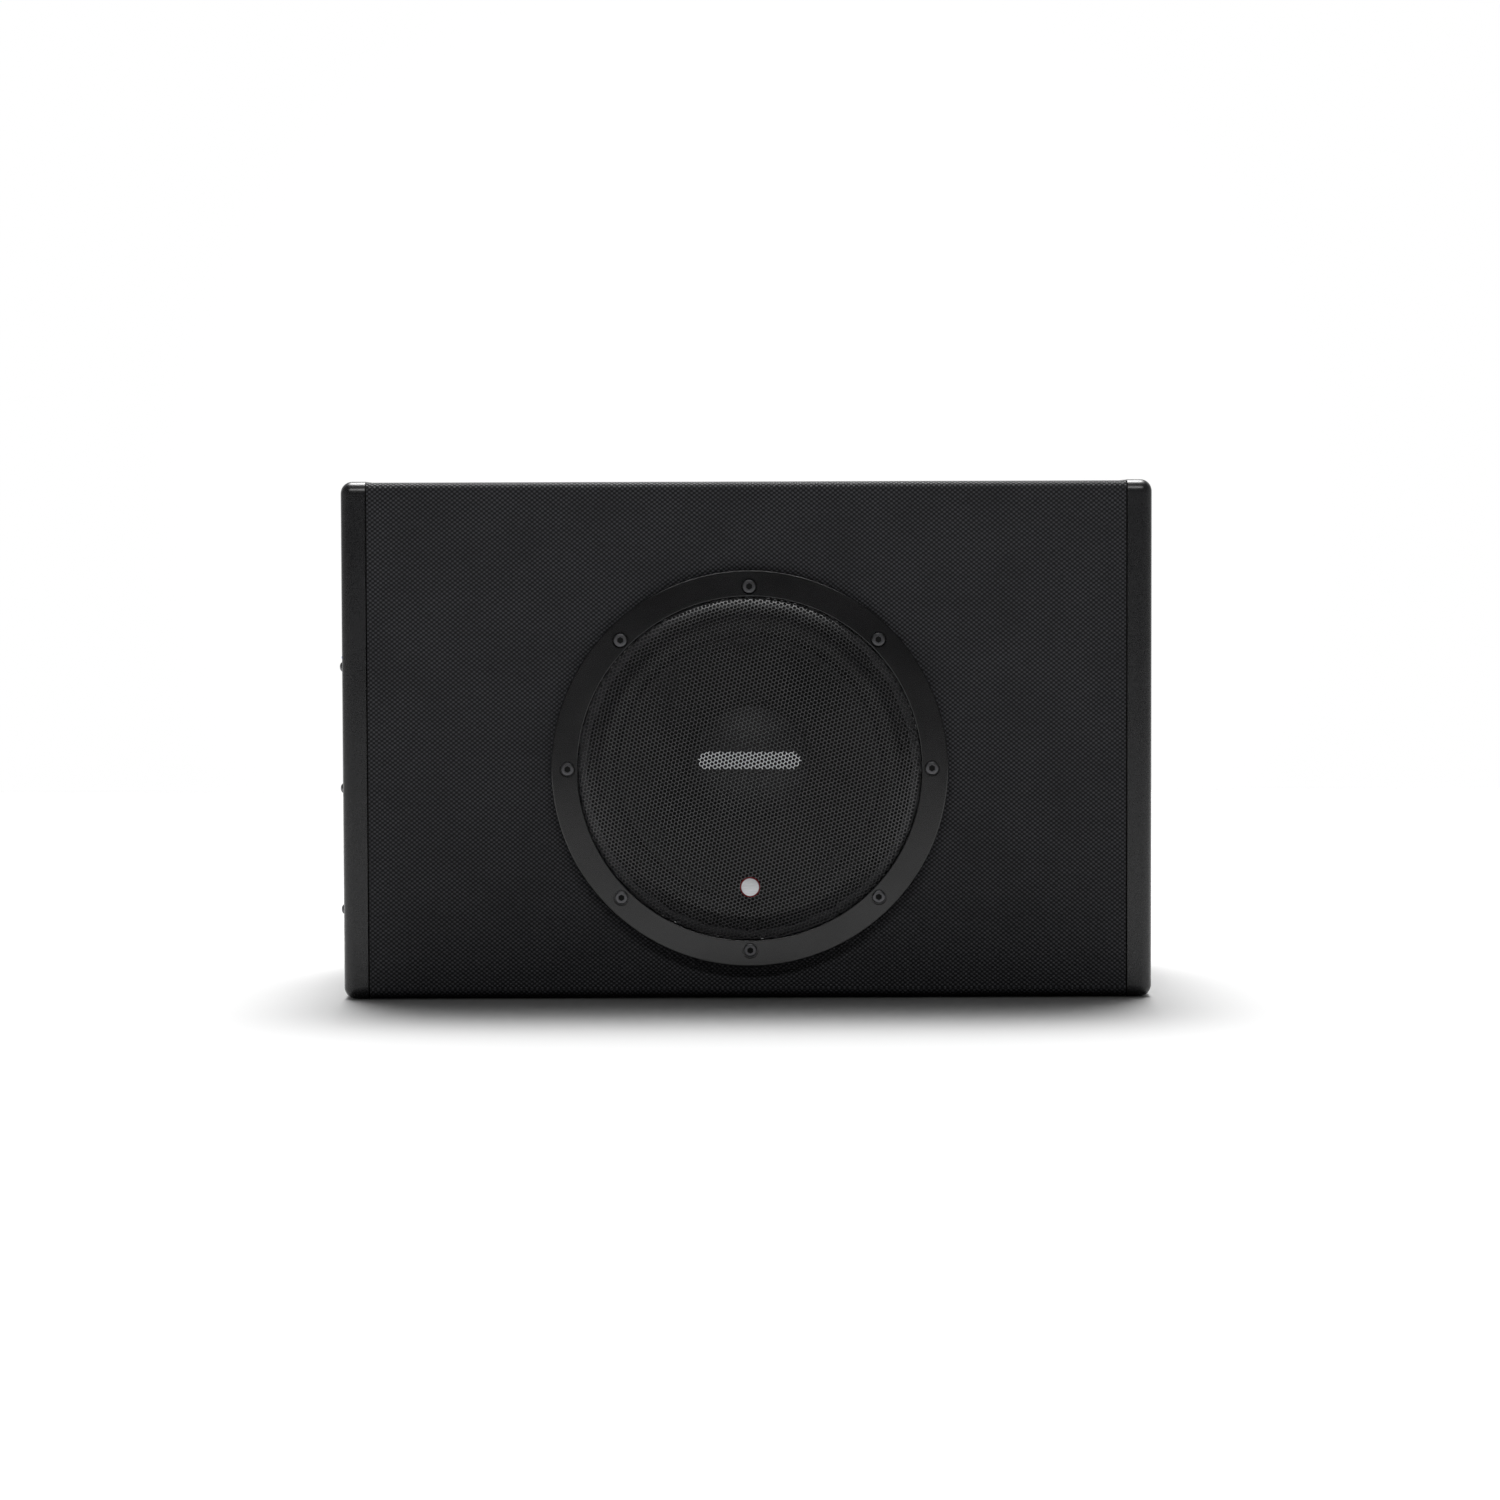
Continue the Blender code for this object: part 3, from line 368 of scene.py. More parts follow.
# %% The grained finish
def grained(name, colour, roughness, grain, depth, metallic=0.0, change=0.25, stretch=(1, 1, 1), **sockets):
    """A finish with grain of a size and depth in metres, and slow patches of wear over it."""
    material = new_material(name, colour, roughness, metallic, **sockets)
    place = object_place(material, stretch)
    fine = node(material, "TexNoise", {"Vector": place, "Scale": 1 / grain, "Detail": 3.0})
    slow = node(material, "TexNoise", {"Vector": place, "Scale": 18.0, "Detail": 2.0})
    half_fine = maths(material, "MULTIPLY", fine.outputs[0], 0.5)
    mixed = maths(material, "MULTIPLY_ADD", slow.outputs[0], 0.5, half_fine)
    tone = between(material, mixed, 0.3, 0.7, 0.0, 1.0)
    feed(material, "Base Color", tint(material, tone, *shades(colour, change)))
    feed(material, "Roughness", between(material, mixed, 0.3, 0.7, roughness - 0.06, roughness + 0.06))
    feed(material, "Normal", bump(material, fine.outputs[0], depth))
    return material


cap_plastic = grained("cap_plastic", (0.013, 0.013, 0.014), 0.28, 0.0007, 0.00003, Specular_IOR_Level=0.5)
ring_plastic = grained(
    "ring_plastic", (0.010, 0.010, 0.0105), 0.18, 0.0005, 0.00001, change=0.12, Specular_IOR_Level=0.5
)
mesh_paint = grained("mesh_paint", (0.050, 0.050, 0.052), 0.28, 0.0004, 0.00001, Specular_IOR_Level=0.7)
black_oxide = grained("black_oxide", (0.11, 0.11, 0.115), 0.32, 0.0006, 0.00001, metallic=0.9)
# A near-black dull finish for the inside of the hexagon sockets: painted shade in the recess of a screw that
# is one metal throughout.
socket_painted_shade = grained("socket_painted_shade", (0.006, 0.006, 0.006), 0.6, 0.0006, 0.00001, Specular_IOR_Level=0.2)
rubber = grained("rubber", (0.009, 0.009, 0.009), 0.62, 0.0008, 0.00003, Specular_IOR_Level=0.2)
amp_paint = grained("amp_paint", (0.020, 0.020, 0.022), 0.45, 0.0007, 0.00005)
knob_plastic = grained("knob_plastic", (0.025, 0.025, 0.027), 0.50, 0.0006, 0.00003)
nylon = grained("nylon", (0.018, 0.018, 0.019), 0.45, 0.0006, 0.00003)
gold_plate = grained("gold_plate", (0.80, 0.58, 0.22), 0.25, 0.0010, 0.00001, metallic=1.0, change=0.1)
nickel_plate = grained("nickel_plate", (0.66, 0.65, 0.62), 0.28, 0.0010, 0.00001, metallic=1.0, change=0.1)
fuse_plastic = grained("fuse_plastic", (0.80, 0.30, 0.04), 0.25, 0.0010, 0.00001, Coat_Weight=0.3)
led_lens = grained("led_lens", (0.10, 0.20, 0.75), 0.15, 0.0020, 0.00001, Coat_Weight=0.5)
pale_ink = grained("pale_ink", (0.62, 0.63, 0.65), 0.45, 0.0005, 0.00002, change=0.08)

# %% [markdown]
# ## The vinyl's weave
# The box is covered with vinyl that is embossed like a plain cloth: upright threads 1.5 mm apart
# and level ones 1.2 mm apart, each passing over and under its neighbours. The product of two
# sines rises where an upright thread is on top and falls where it dives, which is that pattern.
# It follows the sheet and not the room, so it reads a UV map in metres, made with the sleeve.

# %% Woven vinyl
THREAD_ACROSS = 0.00151
THREAD_UP = 0.00123
VINYL = (0.022, 0.022, 0.024)


def woven_vinyl():
    material = new_material("woven_vinyl", VINYL, 0.45, Specular_IOR_Level=0.24)
    sheet = node(material, "UVMap", uv_map="weave").outputs[0]
    wander = node(material, "TexNoise", {"Vector": sheet, "Scale": 260.0, "Detail": 2.0})
    drift = node(material, "VectorMath", {0: wander.outputs[1], 1: (0.5, 0.5, 0.5)}, operation="SUBTRACT")
    moved = node(
        material,
        "VectorMath",
        {0: drift.outputs[0], 1: (0.0006, 0.0006, 0.0), 2: sheet},
        operation="MULTIPLY_ADD",
    )
    axes = node(material, "SeparateXYZ", {0: moved.outputs[0]})
    upright = maths(material, "SINE", maths(material, "MULTIPLY", axes.outputs[0], math.pi / THREAD_ACROSS))
    level = maths(material, "SINE", maths(material, "MULTIPLY", axes.outputs[1], math.pi / THREAD_UP))
    weave = between(material, maths(material, "MULTIPLY", upright, level), -0.35, 0.75, 0.0, 1.0, True)
    patches = node(material, "TexNoise", {"Vector": sheet, "Scale": 30.0, "Detail": 3.0})
    worn = between(material, patches.outputs[0], 0.3, 0.7, 0.8, 1.15)
    # Painted shade: the base colour is near black where a thread dives and lighter where it is on top, so
    # the shade of the weave's hollows is painted into the colour; the slow patches only vary its tone.
    painted_weave_shade_and_wear = maths(material, "MULTIPLY", weave, worn)
    feed(material, "Base Color", tint(material, painted_weave_shade_and_wear, (0.002, 0.002, 0.003), (0.044, 0.045, 0.050)))
    feed(material, "Roughness", between(material, weave, 0.0, 1.0, 0.62, 0.38))
    feed(material, "Normal", bump(material, weave, 0.00022))
    return material


vinyl = woven_vinyl()
print("threads across the front:", round(0.43 / THREAD_ACROSS), "up:", round(0.29 / THREAD_UP))

# %% [markdown]
# ## The wrapped box
# On the real box one sheet of vinyl is glued round the boards, so its four long edges are soft
# and its ends run under the caps. A cube without its two ends is that sleeve: its long edges
# are bevelled, the driver's hole is cut, and Solidify gives the sheet its 0.6 mm. The sheet's
# two ends meet at the foot of the back, where a fine butt joint shows.

# %% The sleeve's outside
wrap_low, wrap_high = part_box("vinyl_wrap")
WRAP_CORNER = 0.005
WRAP_THICK = 0.0006
JOINT_Z = 0.022
JOINT_WIDE = 0.0007

wrap = box_between("wrapped_vinyl", wrap_low, wrap_high)
pick(wrap, "FACE", lambda face: abs(face.normal.x) > 0.9)
bpy.ops.mesh.delete(type="FACE")
pick(wrap, "EDGE", lambda edge: abs(edge.verts[0].co.x - edge.verts[1].co.x) > 0.1)
bevel_picked(WRAP_CORNER, 8)
for height in (JOINT_Z, JOINT_Z + JOINT_WIDE):
    pick(wrap, "FACE", lambda face: face.normal.y > 0.9)
    bpy.ops.mesh.bisect(plane_co=(0, 0, height), plane_no=(0, 0, 1))
pick(
    wrap,
    "FACE",
    lambda face: face.normal.y > 0.9
    and JOINT_Z < face.calc_center_median().z < JOINT_Z + JOINT_WIDE,
)
bpy.ops.mesh.inset(thickness=0.00015)
bpy.ops.transform.translate(value=(0, -0.00035, 0))
in_hand(wrap)
print("sleeve outside:", len(wrap.data.polygons), "faces")

# %% The driver's hole
# The sleeve is still an open sheet here, so the cut leaves the tool's own wall and end behind it
# as a cup. The cup is picked out by its depth and deleted.
HOLE_RADIUS = 0.1090
cut_out(wrap, [rod("hole_tool", (DRIVER.x, -0.13, DRIVER.z), 0.04, HOLE_RADIUS, "Y", 128)])
pick(
    wrap,
    "FACE",
    lambda face: wrap_low.y + WRAP_THICK < face.calc_center_median().y < 0
    and (face.calc_center_median() - DRIVER).xz.length < HOLE_RADIUS + WRAP_THICK,
)
bpy.ops.mesh.delete(type="FACE")
in_hand(wrap)
print("after the hole:", len(wrap.data.polygons), "faces")


# %% The sheet's own measure, along the box and round it
def girth(y, z):
    """How far round the sleeve a point lies, along the vinyl, from the foot of the front."""
    radius = WRAP_CORNER
    quarter = math.pi / 2 * radius
    up = wrap_high.z - wrap_low.z - 2 * radius
    over = wrap_high.y - wrap_low.y - 2 * radius
    from_front, from_back = y - wrap_low.y, wrap_high.y - y
    from_foot, from_top = z - wrap_low.z, wrap_high.z - z
    lean = math.atan2
    if from_front < radius and from_top < radius:
        return up + radius * lean(radius - from_top, radius - from_front)
    if from_back < radius and from_top < radius:
        return up + quarter + over + radius * lean(radius - from_back, radius - from_top)
    if from_back < radius and from_foot < radius:
        return 2 * up + 2 * quarter + over + radius * lean(radius - from_foot, radius - from_back)
    if from_front < radius and from_foot < radius:
        return 2 * (up + quarter + over) + quarter + radius * lean(radius - from_front, radius - from_foot)
    nearest = min(from_front, from_back, from_foot, from_top)
    if nearest == from_front:
        return from_foot - radius
    if nearest == from_top:
        return up + quarter + from_front - radius
    if nearest == from_back:
        return up + 2 * quarter + over + from_top - radius
    return 2 * up + 3 * quarter + over + from_back - radius


def unroll(piece):
    """Writes a UV map in metres: along the box, and round it along the sheet."""
    layer = piece.data.uv_layers.new(name="weave")
    for face in piece.data.polygons:
        middle = girth(face.center.y, face.center.z)
        for corner in face.loop_indices:
            place = piece.data.vertices[piece.data.loops[corner].vertex_index].co
            around = girth(place.y, place.z)
            if middle - around > 0.5:
                square_girth = 2 * (wrap_high.z - wrap_low.z + wrap_high.y - wrap_low.y)
                around += square_girth - (8 - math.tau) * WRAP_CORNER
            layer.data[corner].uv = (place.x, around)


unroll(wrap)
apply_modifier(wrap, "SOLIDIFY", thickness=WRAP_THICK, offset=-1.0)
finish(wrap, "enclosure", vinyl, ["vinyl_wrap"])

# %% [markdown]
# ## The end caps
# Each end is closed by a moulded tray, a little larger than the box, with a soft outer edge. A
# box has its upright corners bevelled first and its outer rim second, so that the two roundings
# run into each other as on a moulding. The tray is then insetted and pushed in from inside.

# %% One tray
CAP_CORNER = 0.0075
CAP_ROUND = 0.0065
CAP_RIM = 0.0030
CAP_FLOOR = 0.0044


def end_cap(name, node_name, side):
    low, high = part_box(node_name)
    outer_x = high.x if side > 0 else low.x
    inner_x = low.x if side > 0 else high.x
    cap = box_between(name, low, high)
    pick(cap, "EDGE", lambda edge: abs(edge.verts[0].co.x - edge.verts[1].co.x) > 0.005)
    bevel_picked(CAP_CORNER, 10)
    pick(cap, "EDGE", lambda edge: all(abs(v.co.x - outer_x) < 1e-6 for v in edge.verts))
    bevel_picked(CAP_ROUND, 8)
    pick(cap, "EDGE", lambda edge: all(abs(v.co.x - inner_x) < 1e-6 for v in edge.verts))
    bevel_picked(0.0004, 2)
    pick(cap, "FACE", lambda face: face.normal.x * side < -0.9 and len(face.verts) > 8)
    bpy.ops.mesh.inset(thickness=CAP_RIM - 0.0004)
    depth = abs(outer_x - inner_x) - CAP_FLOOR
    bpy.ops.mesh.extrude_region_move(TRANSFORM_OT_translate={"value": (side * depth, 0, 0)})
    in_hand(cap)
    return cap


right_cap = end_cap("end_cap_right", "right_end_cap", 1)
finish(right_cap, "enclosure", cap_plastic, ["right_end_cap"])

# %% The left tray, with its window for the amplifier
WINDOW_GAP = 0.0005
WINDOW_CORNER = 0.0060


def rounded_tool(name, low, high, radius, axis="X"):
    """A cutting block with its edges along one axis rounded."""
    tool = box_between(name, low, high)
    along = "XYZ".index(axis)
    length = high[along] - low[along]
    pick(tool, "EDGE", lambda edge: abs(edge.verts[0].co[along] - edge.verts[1].co[along]) > length / 2)
    bevel_picked(radius, 8)
    in_hand(tool)
    return tool


left_cap = end_cap("end_cap_left", "left_end_cap", -1)
window = rounded_tool(
    "window_tool",
    (-0.24, panel_low.y - WINDOW_GAP, panel_low.z - WINDOW_GAP),
    (-0.222, panel_high.y + WINDOW_GAP, panel_high.z + WINDOW_GAP),
    WINDOW_CORNER,
)
cut_out(left_cap, [window])
finish(left_cap, "enclosure", cap_plastic, ["left_end_cap"])

# %% [markdown]
# ## The trim ring
# A flat plastic ring, 226 mm across, clamps the mesh with eight screws. It is lathe work: a
# drawn section with small arcs at its two front edges, which catch the light, spun round the
# driver's axis. Eight stepped holes are then cut from one joined tool.

# %% The ring's section, spun and drilled
RING_OUTER = (ring_high.x - ring_low.x) / 2
RING_INNER = 0.0978
RING_FRONT = ring_low.y
RING_EASE = 0.0009
BOLT_CIRCLE = 0.1035
BOLTS = 8
COUNTERBORE = 0.0046

section = (
    [(RING_OUTER, -0.1073)]
    + arc((RING_OUTER - RING_EASE, RING_FRONT + RING_EASE), RING_EASE, RING_EASE, 0, -90, 6)
    + arc((RING_INNER + 0.0006, RING_FRONT + 0.0006), 0.0006, 0.0006, -90, -180, 5)
    + [
        (RING_INNER, -0.1079),
        (0.1003, -0.1079),
        (0.1003, -0.1064),
        (0.1075, -0.1064),
        (0.1075, -0.1073),
        (RING_OUTER, -0.1073),
    ]
)
ring = turned("clamp_ring", section, DRIVER, "Y", 192)


def bolt_place(index):
    angle = math.pi / 2 - math.tau * index / BOLTS
    return Vector((math.cos(angle), 0, math.sin(angle))) * BOLT_CIRCLE + DRIVER


bores = []
for index in range(BOLTS):
    place = bolt_place(index)
    bores.append(rod(f"bore_{index}", (place.x, -0.1120, place.z), 0.012, 0.0023, "Y", 24))
cut_out(ring, bores)
sinks = []
for index in range(BOLTS):
    place = bolt_place(index)
    sinks.append(rod(f"sink_{index}", (place.x, -0.1200, place.z), 0.0097, COUNTERBORE, "Y", 48))
cut_out(ring, sinks)
pick(
    ring,
    "EDGE",
    lambda edge: all(
        abs(v.co.y - RING_FRONT) < 1e-5
        and min((v.co - bolt_place(i)).xz.length for i in range(BOLTS)) < COUNTERBORE + 2e-5
        for v in edge.verts
    ),
)
bevel_picked(0.0003, 2)
finish(ring, "enclosure", ring_plastic, ["trim_ring"])

# %% [markdown]
# ## Socket screws
# The ring's screws have round heads with a hexagon socket. One is turned from its section, its
# socket is cut, and the other seven are copies, each with its own mesh. Their threads are a
# stack of shallow ridges in the section, cheap to spin and plain to see when one is taken out.


# %% One ring screw
def threaded(radius, start, end, pitch):
    """A shank's (radius, height) outline with a ridge at each pitch."""
    turns = int(abs(end - start) / pitch)
    way = 1 if end > start else -1
    points = []
    for turn in range(turns):
        points.append((radius, start + way * pitch * turn))
        points.append((radius * 0.84, start + way * pitch * (turn + 0.5)))
    return points


def place_across(place, axis):
    """A place with its distance along one axis taken out."""
    return Vector(place) - ALONG[axis] * Vector(place).dot(ALONG[axis])


def socket_screw(name, outline, centre, axis, socket_radius, head, socket_depth):
    screw = turned(name, outline, centre, axis, 40)
    start = Vector(centre)
    start["XYZ".index(axis)] = head - 0.002
    tool = rod("socket_tool", start, socket_depth + 0.002, socket_radius, axis, 6)
    cut_out(screw, [tool])
    screw.data.materials.append(black_oxide)
    screw.data.materials.append(socket_painted_shade)
    for face in screw.data.polygons:
        depth = face.center["XYZ".index(axis)] - head
        reach = (place_across(face.center, axis) - place_across(centre, axis)).length
        # Faces inside the hexagon socket take the second finish, which paints the recess's shade near black.
        face.material_index = int(0.0001 < depth < socket_depth + 0.0001 and reach < socket_radius)
    return screw


HEAD_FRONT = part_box("ring_screw_1")[0].y
head = (
    [(0.0, HEAD_FRONT)]
    + [(0.0021, HEAD_FRONT)]
    + arc((0.0030, HEAD_FRONT + 0.0008), 0.0008, 0.0008, -90, 0, 5)
    + [(0.0038, -0.1105), (0.0019, -0.1105)]
)
ring_shank = threaded(0.0019, -0.1092, -0.0966, 0.0009) + [(0.0008, -0.0950), (0.0, -0.0948)]
first_screw = socket_screw(
    "socket_screw_1", head + ring_shank, bolt_place(0), "Y", 0.0019, HEAD_FRONT, 0.0013
)
for index in range(1, BOLTS):
    screw = copy_of(first_screw, f"socket_screw_{index + 1}", bolt_place(index) - bolt_place(0))
    finish(screw, "enclosure", [black_oxide, socket_painted_shade], [f"ring_screw_{index + 1}"])
finish(first_screw, "enclosure", [black_oxide, socket_painted_shade], ["ring_screw_1"])

# %% [markdown]
# ## The steel mesh
# The grille is a thin steel sheet, punched with about seven thousand holes 2.2 mm apart and then
# pressed into a shallow dish. Modelling follows the same order. One hexagon is arrayed into a
# tiling, and a bevel along every edge leaves a strand between each two cells. The cells inside
# the punched circle are deleted, and a plain band is filled out to the rim while the sheet is
# still flat. Only then is it pressed, and Solidify gives it its thickness.

# %% The punched sheet, flat
PITCH = 0.00226
STRAND = 0.00044
ROW_TILT = math.radians(19)
PUNCHED_RADIUS = 0.0975
ROWS = 105
COLUMNS = 145

in_hand()
corner_step = Vector((PITCH / 2, PITCH * math.sqrt(3) / 2, 0))
first_cell = -Vector((PITCH, 0, 0)) * (COLUMNS - 1) / 2 - corner_step * (ROWS - 1) / 2
bpy.ops.mesh.primitive_circle_add(
    vertices=6, radius=PITCH / math.sqrt(3), fill_type="NGON", location=first_cell
)
mesh_sheet = settled("steel_mesh")
for count, step in ((COLUMNS, (PITCH, 0, 0)), (ROWS, corner_step)):
    apply_modifier(
        mesh_sheet,
        "ARRAY",
        count=count,
        use_relative_offset=False,
        use_constant_offset=True,
        constant_offset_displace=step,
    )
KEPT = PUNCHED_RADIUS + 1.2 * PITCH
pick(mesh_sheet, "FACE", lambda face: face.calc_center_median().length > KEPT)
bpy.ops.mesh.delete(type="FACE")
all_of(mesh_sheet)
bpy.ops.mesh.remove_doubles(threshold=PITCH * 0.02)
bevel_picked(STRAND / 2, 1)
holes = pick(
    mesh_sheet,
    "FACE",
    lambda face: len(face.verts) == 6 and face.calc_center_median().length < PUNCHED_RADIUS,
)
bpy.ops.mesh.delete(type="FACE")
print("holes punched:", holes)

# %% A plain band out to a round rim
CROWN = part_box("grille")[0].y
CROWN_BULGE = 0.0002
SHOULDER = 0.0835
SHOULDER_END = 0.0974
SHOULDER_LEANS = math.radians(10), math.radians(26)
RIM_RADIUS = 0.1000
CLAMPED_Y = -0.1074
bend = (SHOULDER_END - SHOULDER) / (math.sin(SHOULDER_LEANS[1]) - math.sin(SHOULDER_LEANS[0]))


def dish_section(samples=240):
    """The pressed sheet's outer face as (distance along the sheet, radius, y)."""
    rows = [(0.0, 0.0, CROWN)]
    for index in range(1, 2 * samples + 1):
        if index <= samples:
            radius = SHOULDER * index / samples
            y = CROWN + CROWN_BULGE * (radius / SHOULDER) ** 2
        else:
            start, end = SHOULDER_LEANS
            lean = start + (end - start) * (index - samples) / samples
            radius = SHOULDER + bend * (math.sin(lean) - math.sin(start))
            y = CROWN + CROWN_BULGE + bend * (math.cos(start) - math.cos(lean))
        step = math.hypot(radius - rows[-1][1], y - rows[-1][2])
        rows.append((rows[-1][0] + step, radius, y))
    for radius in (SHOULDER_END, RIM_RADIUS):
        step = math.hypot(radius - rows[-1][1], CLAMPED_Y - rows[-1][2])
        rows.append((rows[-1][0] + step, radius, CLAMPED_Y))
    return rows


dish = dish_section()
BLANK_RADIUS = dish[-1][0]
in_hand(mesh_sheet)
bpy.ops.object.mode_set(mode="EDIT")
bpy.ops.mesh.select_all(action="DESELECT")
bpy.ops.mesh.primitive_circle_add(vertices=128, radius=BLANK_RADIUS)
edge_limit = PUNCHED_RADIUS + 0.6 * PITCH
pick(
    mesh_sheet,
    "EDGE",
    lambda edge: len(edge.link_faces) < 2 and min(v.co.length for v in edge.verts) > edge_limit,
)
bpy.ops.mesh.fill(use_beauty=True)
pick(mesh_sheet, "FACE", lambda face: True)
bpy.ops.mesh.normals_make_consistent(inside=False)
in_hand(mesh_sheet)
print("blank radius, mm:", round(BLANK_RADIUS * 1000, 2))


# %% Pressing the sheet into its dish
def pressed(place, rows):
    """A point of the flat sheet, carried to its place on the dish."""
    reach = place.length
    index = min(int(reach / rows[-1][0] * (len(rows) - 1)), len(rows) - 2)
    while rows[index][0] > reach and index > 0:
        index -= 1
    while rows[index + 1][0] < reach and index < len(rows) - 2:
        index += 1
    (s0, r0, y0), (s1, r1, y1) = rows[index], rows[index + 1]
    share = min((reach - s0) / (s1 - s0), 1.0)
    radius = r0 + (r1 - r0) * share
    angle = math.atan2(place.y, place.x) + ROW_TILT
    return DRIVER + Vector(
        (radius * math.cos(angle), y0 + (y1 - y0) * share, radius * math.sin(angle))
    )


shape = bmesh.new()
shape.from_mesh(mesh_sheet.data)
if sum(face.normal.z for face in shape.faces) < 0:
    bmesh.ops.reverse_faces(shape, faces=shape.faces[:])
for vert in shape.verts:
    vert.co = pressed(vert.co, dish)
shape.to_mesh(mesh_sheet.data)
shape.free()

SHEET_THICK = 0.0005
apply_modifier(mesh_sheet, "SOLIDIFY", thickness=SHEET_THICK, offset=-1.0)

# %% [markdown]
# ## The printed stripe and the round badge
# Makers print a mark in pale ink across the mesh, and fix a small badge below it. Here they are
# a plain stripe with round ends, and a plain disc. The ink only reaches the strands' front
# faces, so those faces inside the stripe's outline take a second material.

# %% Pale ink on the strands
STRIPE_Z = 0.1364
STRIPE_HALF = 0.0290
STRIPE_ROUND = 0.0048


def on_stripe(place):
    from_middle = max(abs(place.x - DRIVER.x) - (STRIPE_HALF - STRIPE_ROUND), 0.0)
    return math.hypot(from_middle, place.z - STRIPE_Z) < STRIPE_ROUND


mesh_sheet.data.materials.append(mesh_paint)
mesh_sheet.data.materials.append(pale_ink)
inked = 0
for face in mesh_sheet.data.polygons:
    if face.normal.y < -0.9 and on_stripe(face.center):
        face.material_index = 1
        inked += 1
finish(mesh_sheet, "enclosure", [mesh_paint, pale_ink], ["grille"], 30, weighted=False)
print("strand faces with ink:", inked)

# %% The badge
badge_low, badge_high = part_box("badge")
BADGE = Vector((DRIVER.x, 0, (badge_low.z + badge_high.z) / 2))
BADGE_RADIUS = (badge_high.z - badge_low.z) / 2
BADGE_LIP = 0.0008
badge_front = badge_low.y
badge_outline = (
    [(0.0, badge_front + 0.00015), (BADGE_RADIUS - BADGE_LIP - 0.0001, badge_front + 0.0003)]
    + arc((BADGE_RADIUS - BADGE_LIP / 2, badge_front + 0.0004), BADGE_LIP / 2, 0.0004, -180, 0, 8)
    + [(BADGE_RADIUS, badge_high.y), (0.0, badge_high.y)]
)
badge = turned("round_badge", badge_outline, BADGE, "Y", 96)
brushed_silver = grained(
    "brushed_silver", (0.66, 0.67, 0.69), 0.32, 0.0006, 0.00002, metallic=0.9, stretch=(0.1, 1, 1)
)
red_enamel = grained("red_enamel", (0.16, 0.006, 0.010), 0.22, 0.0006, 0.00001, Coat_Weight=0.6)
badge.data.materials.append(brushed_silver)
badge.data.materials.append(red_enamel)
for face in badge.data.polygons:
    reach = (face.center - BADGE).xz.length
    face.material_index = 1 if reach > BADGE_RADIUS - BADGE_LIP * 1.05 else 0
finish(badge, "enclosure", [brushed_silver, red_enamel], ["badge"])

# %% [markdown]
# ## Cone, dust cap and surround
# Behind the mesh the paper cone, its domed dust cap and the rubber half roll show as faint
# circles. They are lathe work too. The roll is held still by the basket at its outer edge and
# rides in and out with the cone at its inner edge, so its points are shared between the two
# bodies by their distance from the axis.

# %% Pulp and satin finishes
pulp = grained(
    "pressed_pulp", (0.010, 0.010, 0.010), 0.80, 0.0016, 0.00012, change=0.45, Specular_IOR_Level=0.2
)
dome_finish = grained("satin_dome", (0.012, 0.012, 0.0125), 0.48, 0.0009, 0.00003, Specular_IOR_Level=0.3)

# %% The cone and its dust cap
cone_outline = [
    (0.0256, -0.0708),
    (0.0330, -0.0758),
    (0.0450, -0.0836),
    (0.0570, -0.0911),
    (0.0690, -0.0983),
    (0.0740, -0.0983),
    (0.0740, -0.0975),
    (0.0693, -0.0975),
    (0.0570, -0.0902),
    (0.0450, -0.0827),
    (0.0330, -0.0750),
    (0.0256, -0.0700),
    (0.0256, -0.0708),
]
cone = turned("paper_cone", cone_outline, DRIVER, "Y", 128)
finish(cone, "cone_assembly", pulp, ["cone"])

DOME_RADIUS = 0.0340
DOME_RISE = 0.0120
DOME_RIM = -0.0771
DOME_THICK = 0.0008
ball = (DOME_RADIUS**2 + DOME_RISE**2) / (2 * DOME_RISE)
half_angle = math.degrees(math.asin(DOME_RADIUS / ball))
ball_centre = (0.0, DOME_RIM - DOME_RISE + ball)
dome_outline = arc(ball_centre, ball, ball, -90, half_angle - 90, 14)
dome_outline += arc(ball_centre, ball - DOME_THICK, ball - DOME_THICK, half_angle - 90, -90, 14)
dome = turned("domed_dust_cap", dome_outline, DRIVER, "Y", 96)
finish(dome, "cone_assembly", dome_finish, ["dust_cap"])


# %% The rubber roll, shared between the basket and the cone
def share_by_radius(piece, still, moving):
    """Weights from 0 at the clamped radius to 1 at the moving one, as a smooth step."""
    start = DRIVER + Vector((still, 0, 0))
    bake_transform(piece, "enclosure", "cone_assembly", start=start, end=DRIVER + Vector((moving, 0, 0)))
    weights = piece.data.attributes["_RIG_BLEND"].data
    for vertex, weight in zip(piece.data.vertices, weights):
        reach = (vertex.co - DRIVER).xz.length
        share = min(max((reach - still) / (moving - still), 0.0), 1.0)
        weight.value = share * share * (3 - 2 * share)
    return piece


roll = [(0.0925, -0.1005), (0.0878, -0.1005)]
roll += arc((0.0808, -0.1000), 0.0065, -0.0068, 0, 180, 16)
roll += [(0.0705, -0.0998), (0.0705, -0.0986), (0.0750, -0.0986)]
roll += arc((0.0808, -0.0994), 0.0053, -0.0056, 180, 0, 16)
roll += [(0.0925, -0.0993), (0.0925, -0.1005)]
surround = turned("rubber_roll", roll, DRIVER, "Y", 128)
finish(surround, None, rubber, ["surround"])
share_by_radius(surround, still=0.0870, moving=0.0745)

# %% [markdown]
# ## The amplifier panel
# The controls sit at the bottom of a shallow tub, so that nothing sticks out past the box when it
# is pushed against a seat. On the real one the panel is one pressing. A face could be insetted
# and pushed in, but the flange, the tub and its hollow have corners of three sizes, so three
# rounded blocks are used: two are fused and the third is taken out.

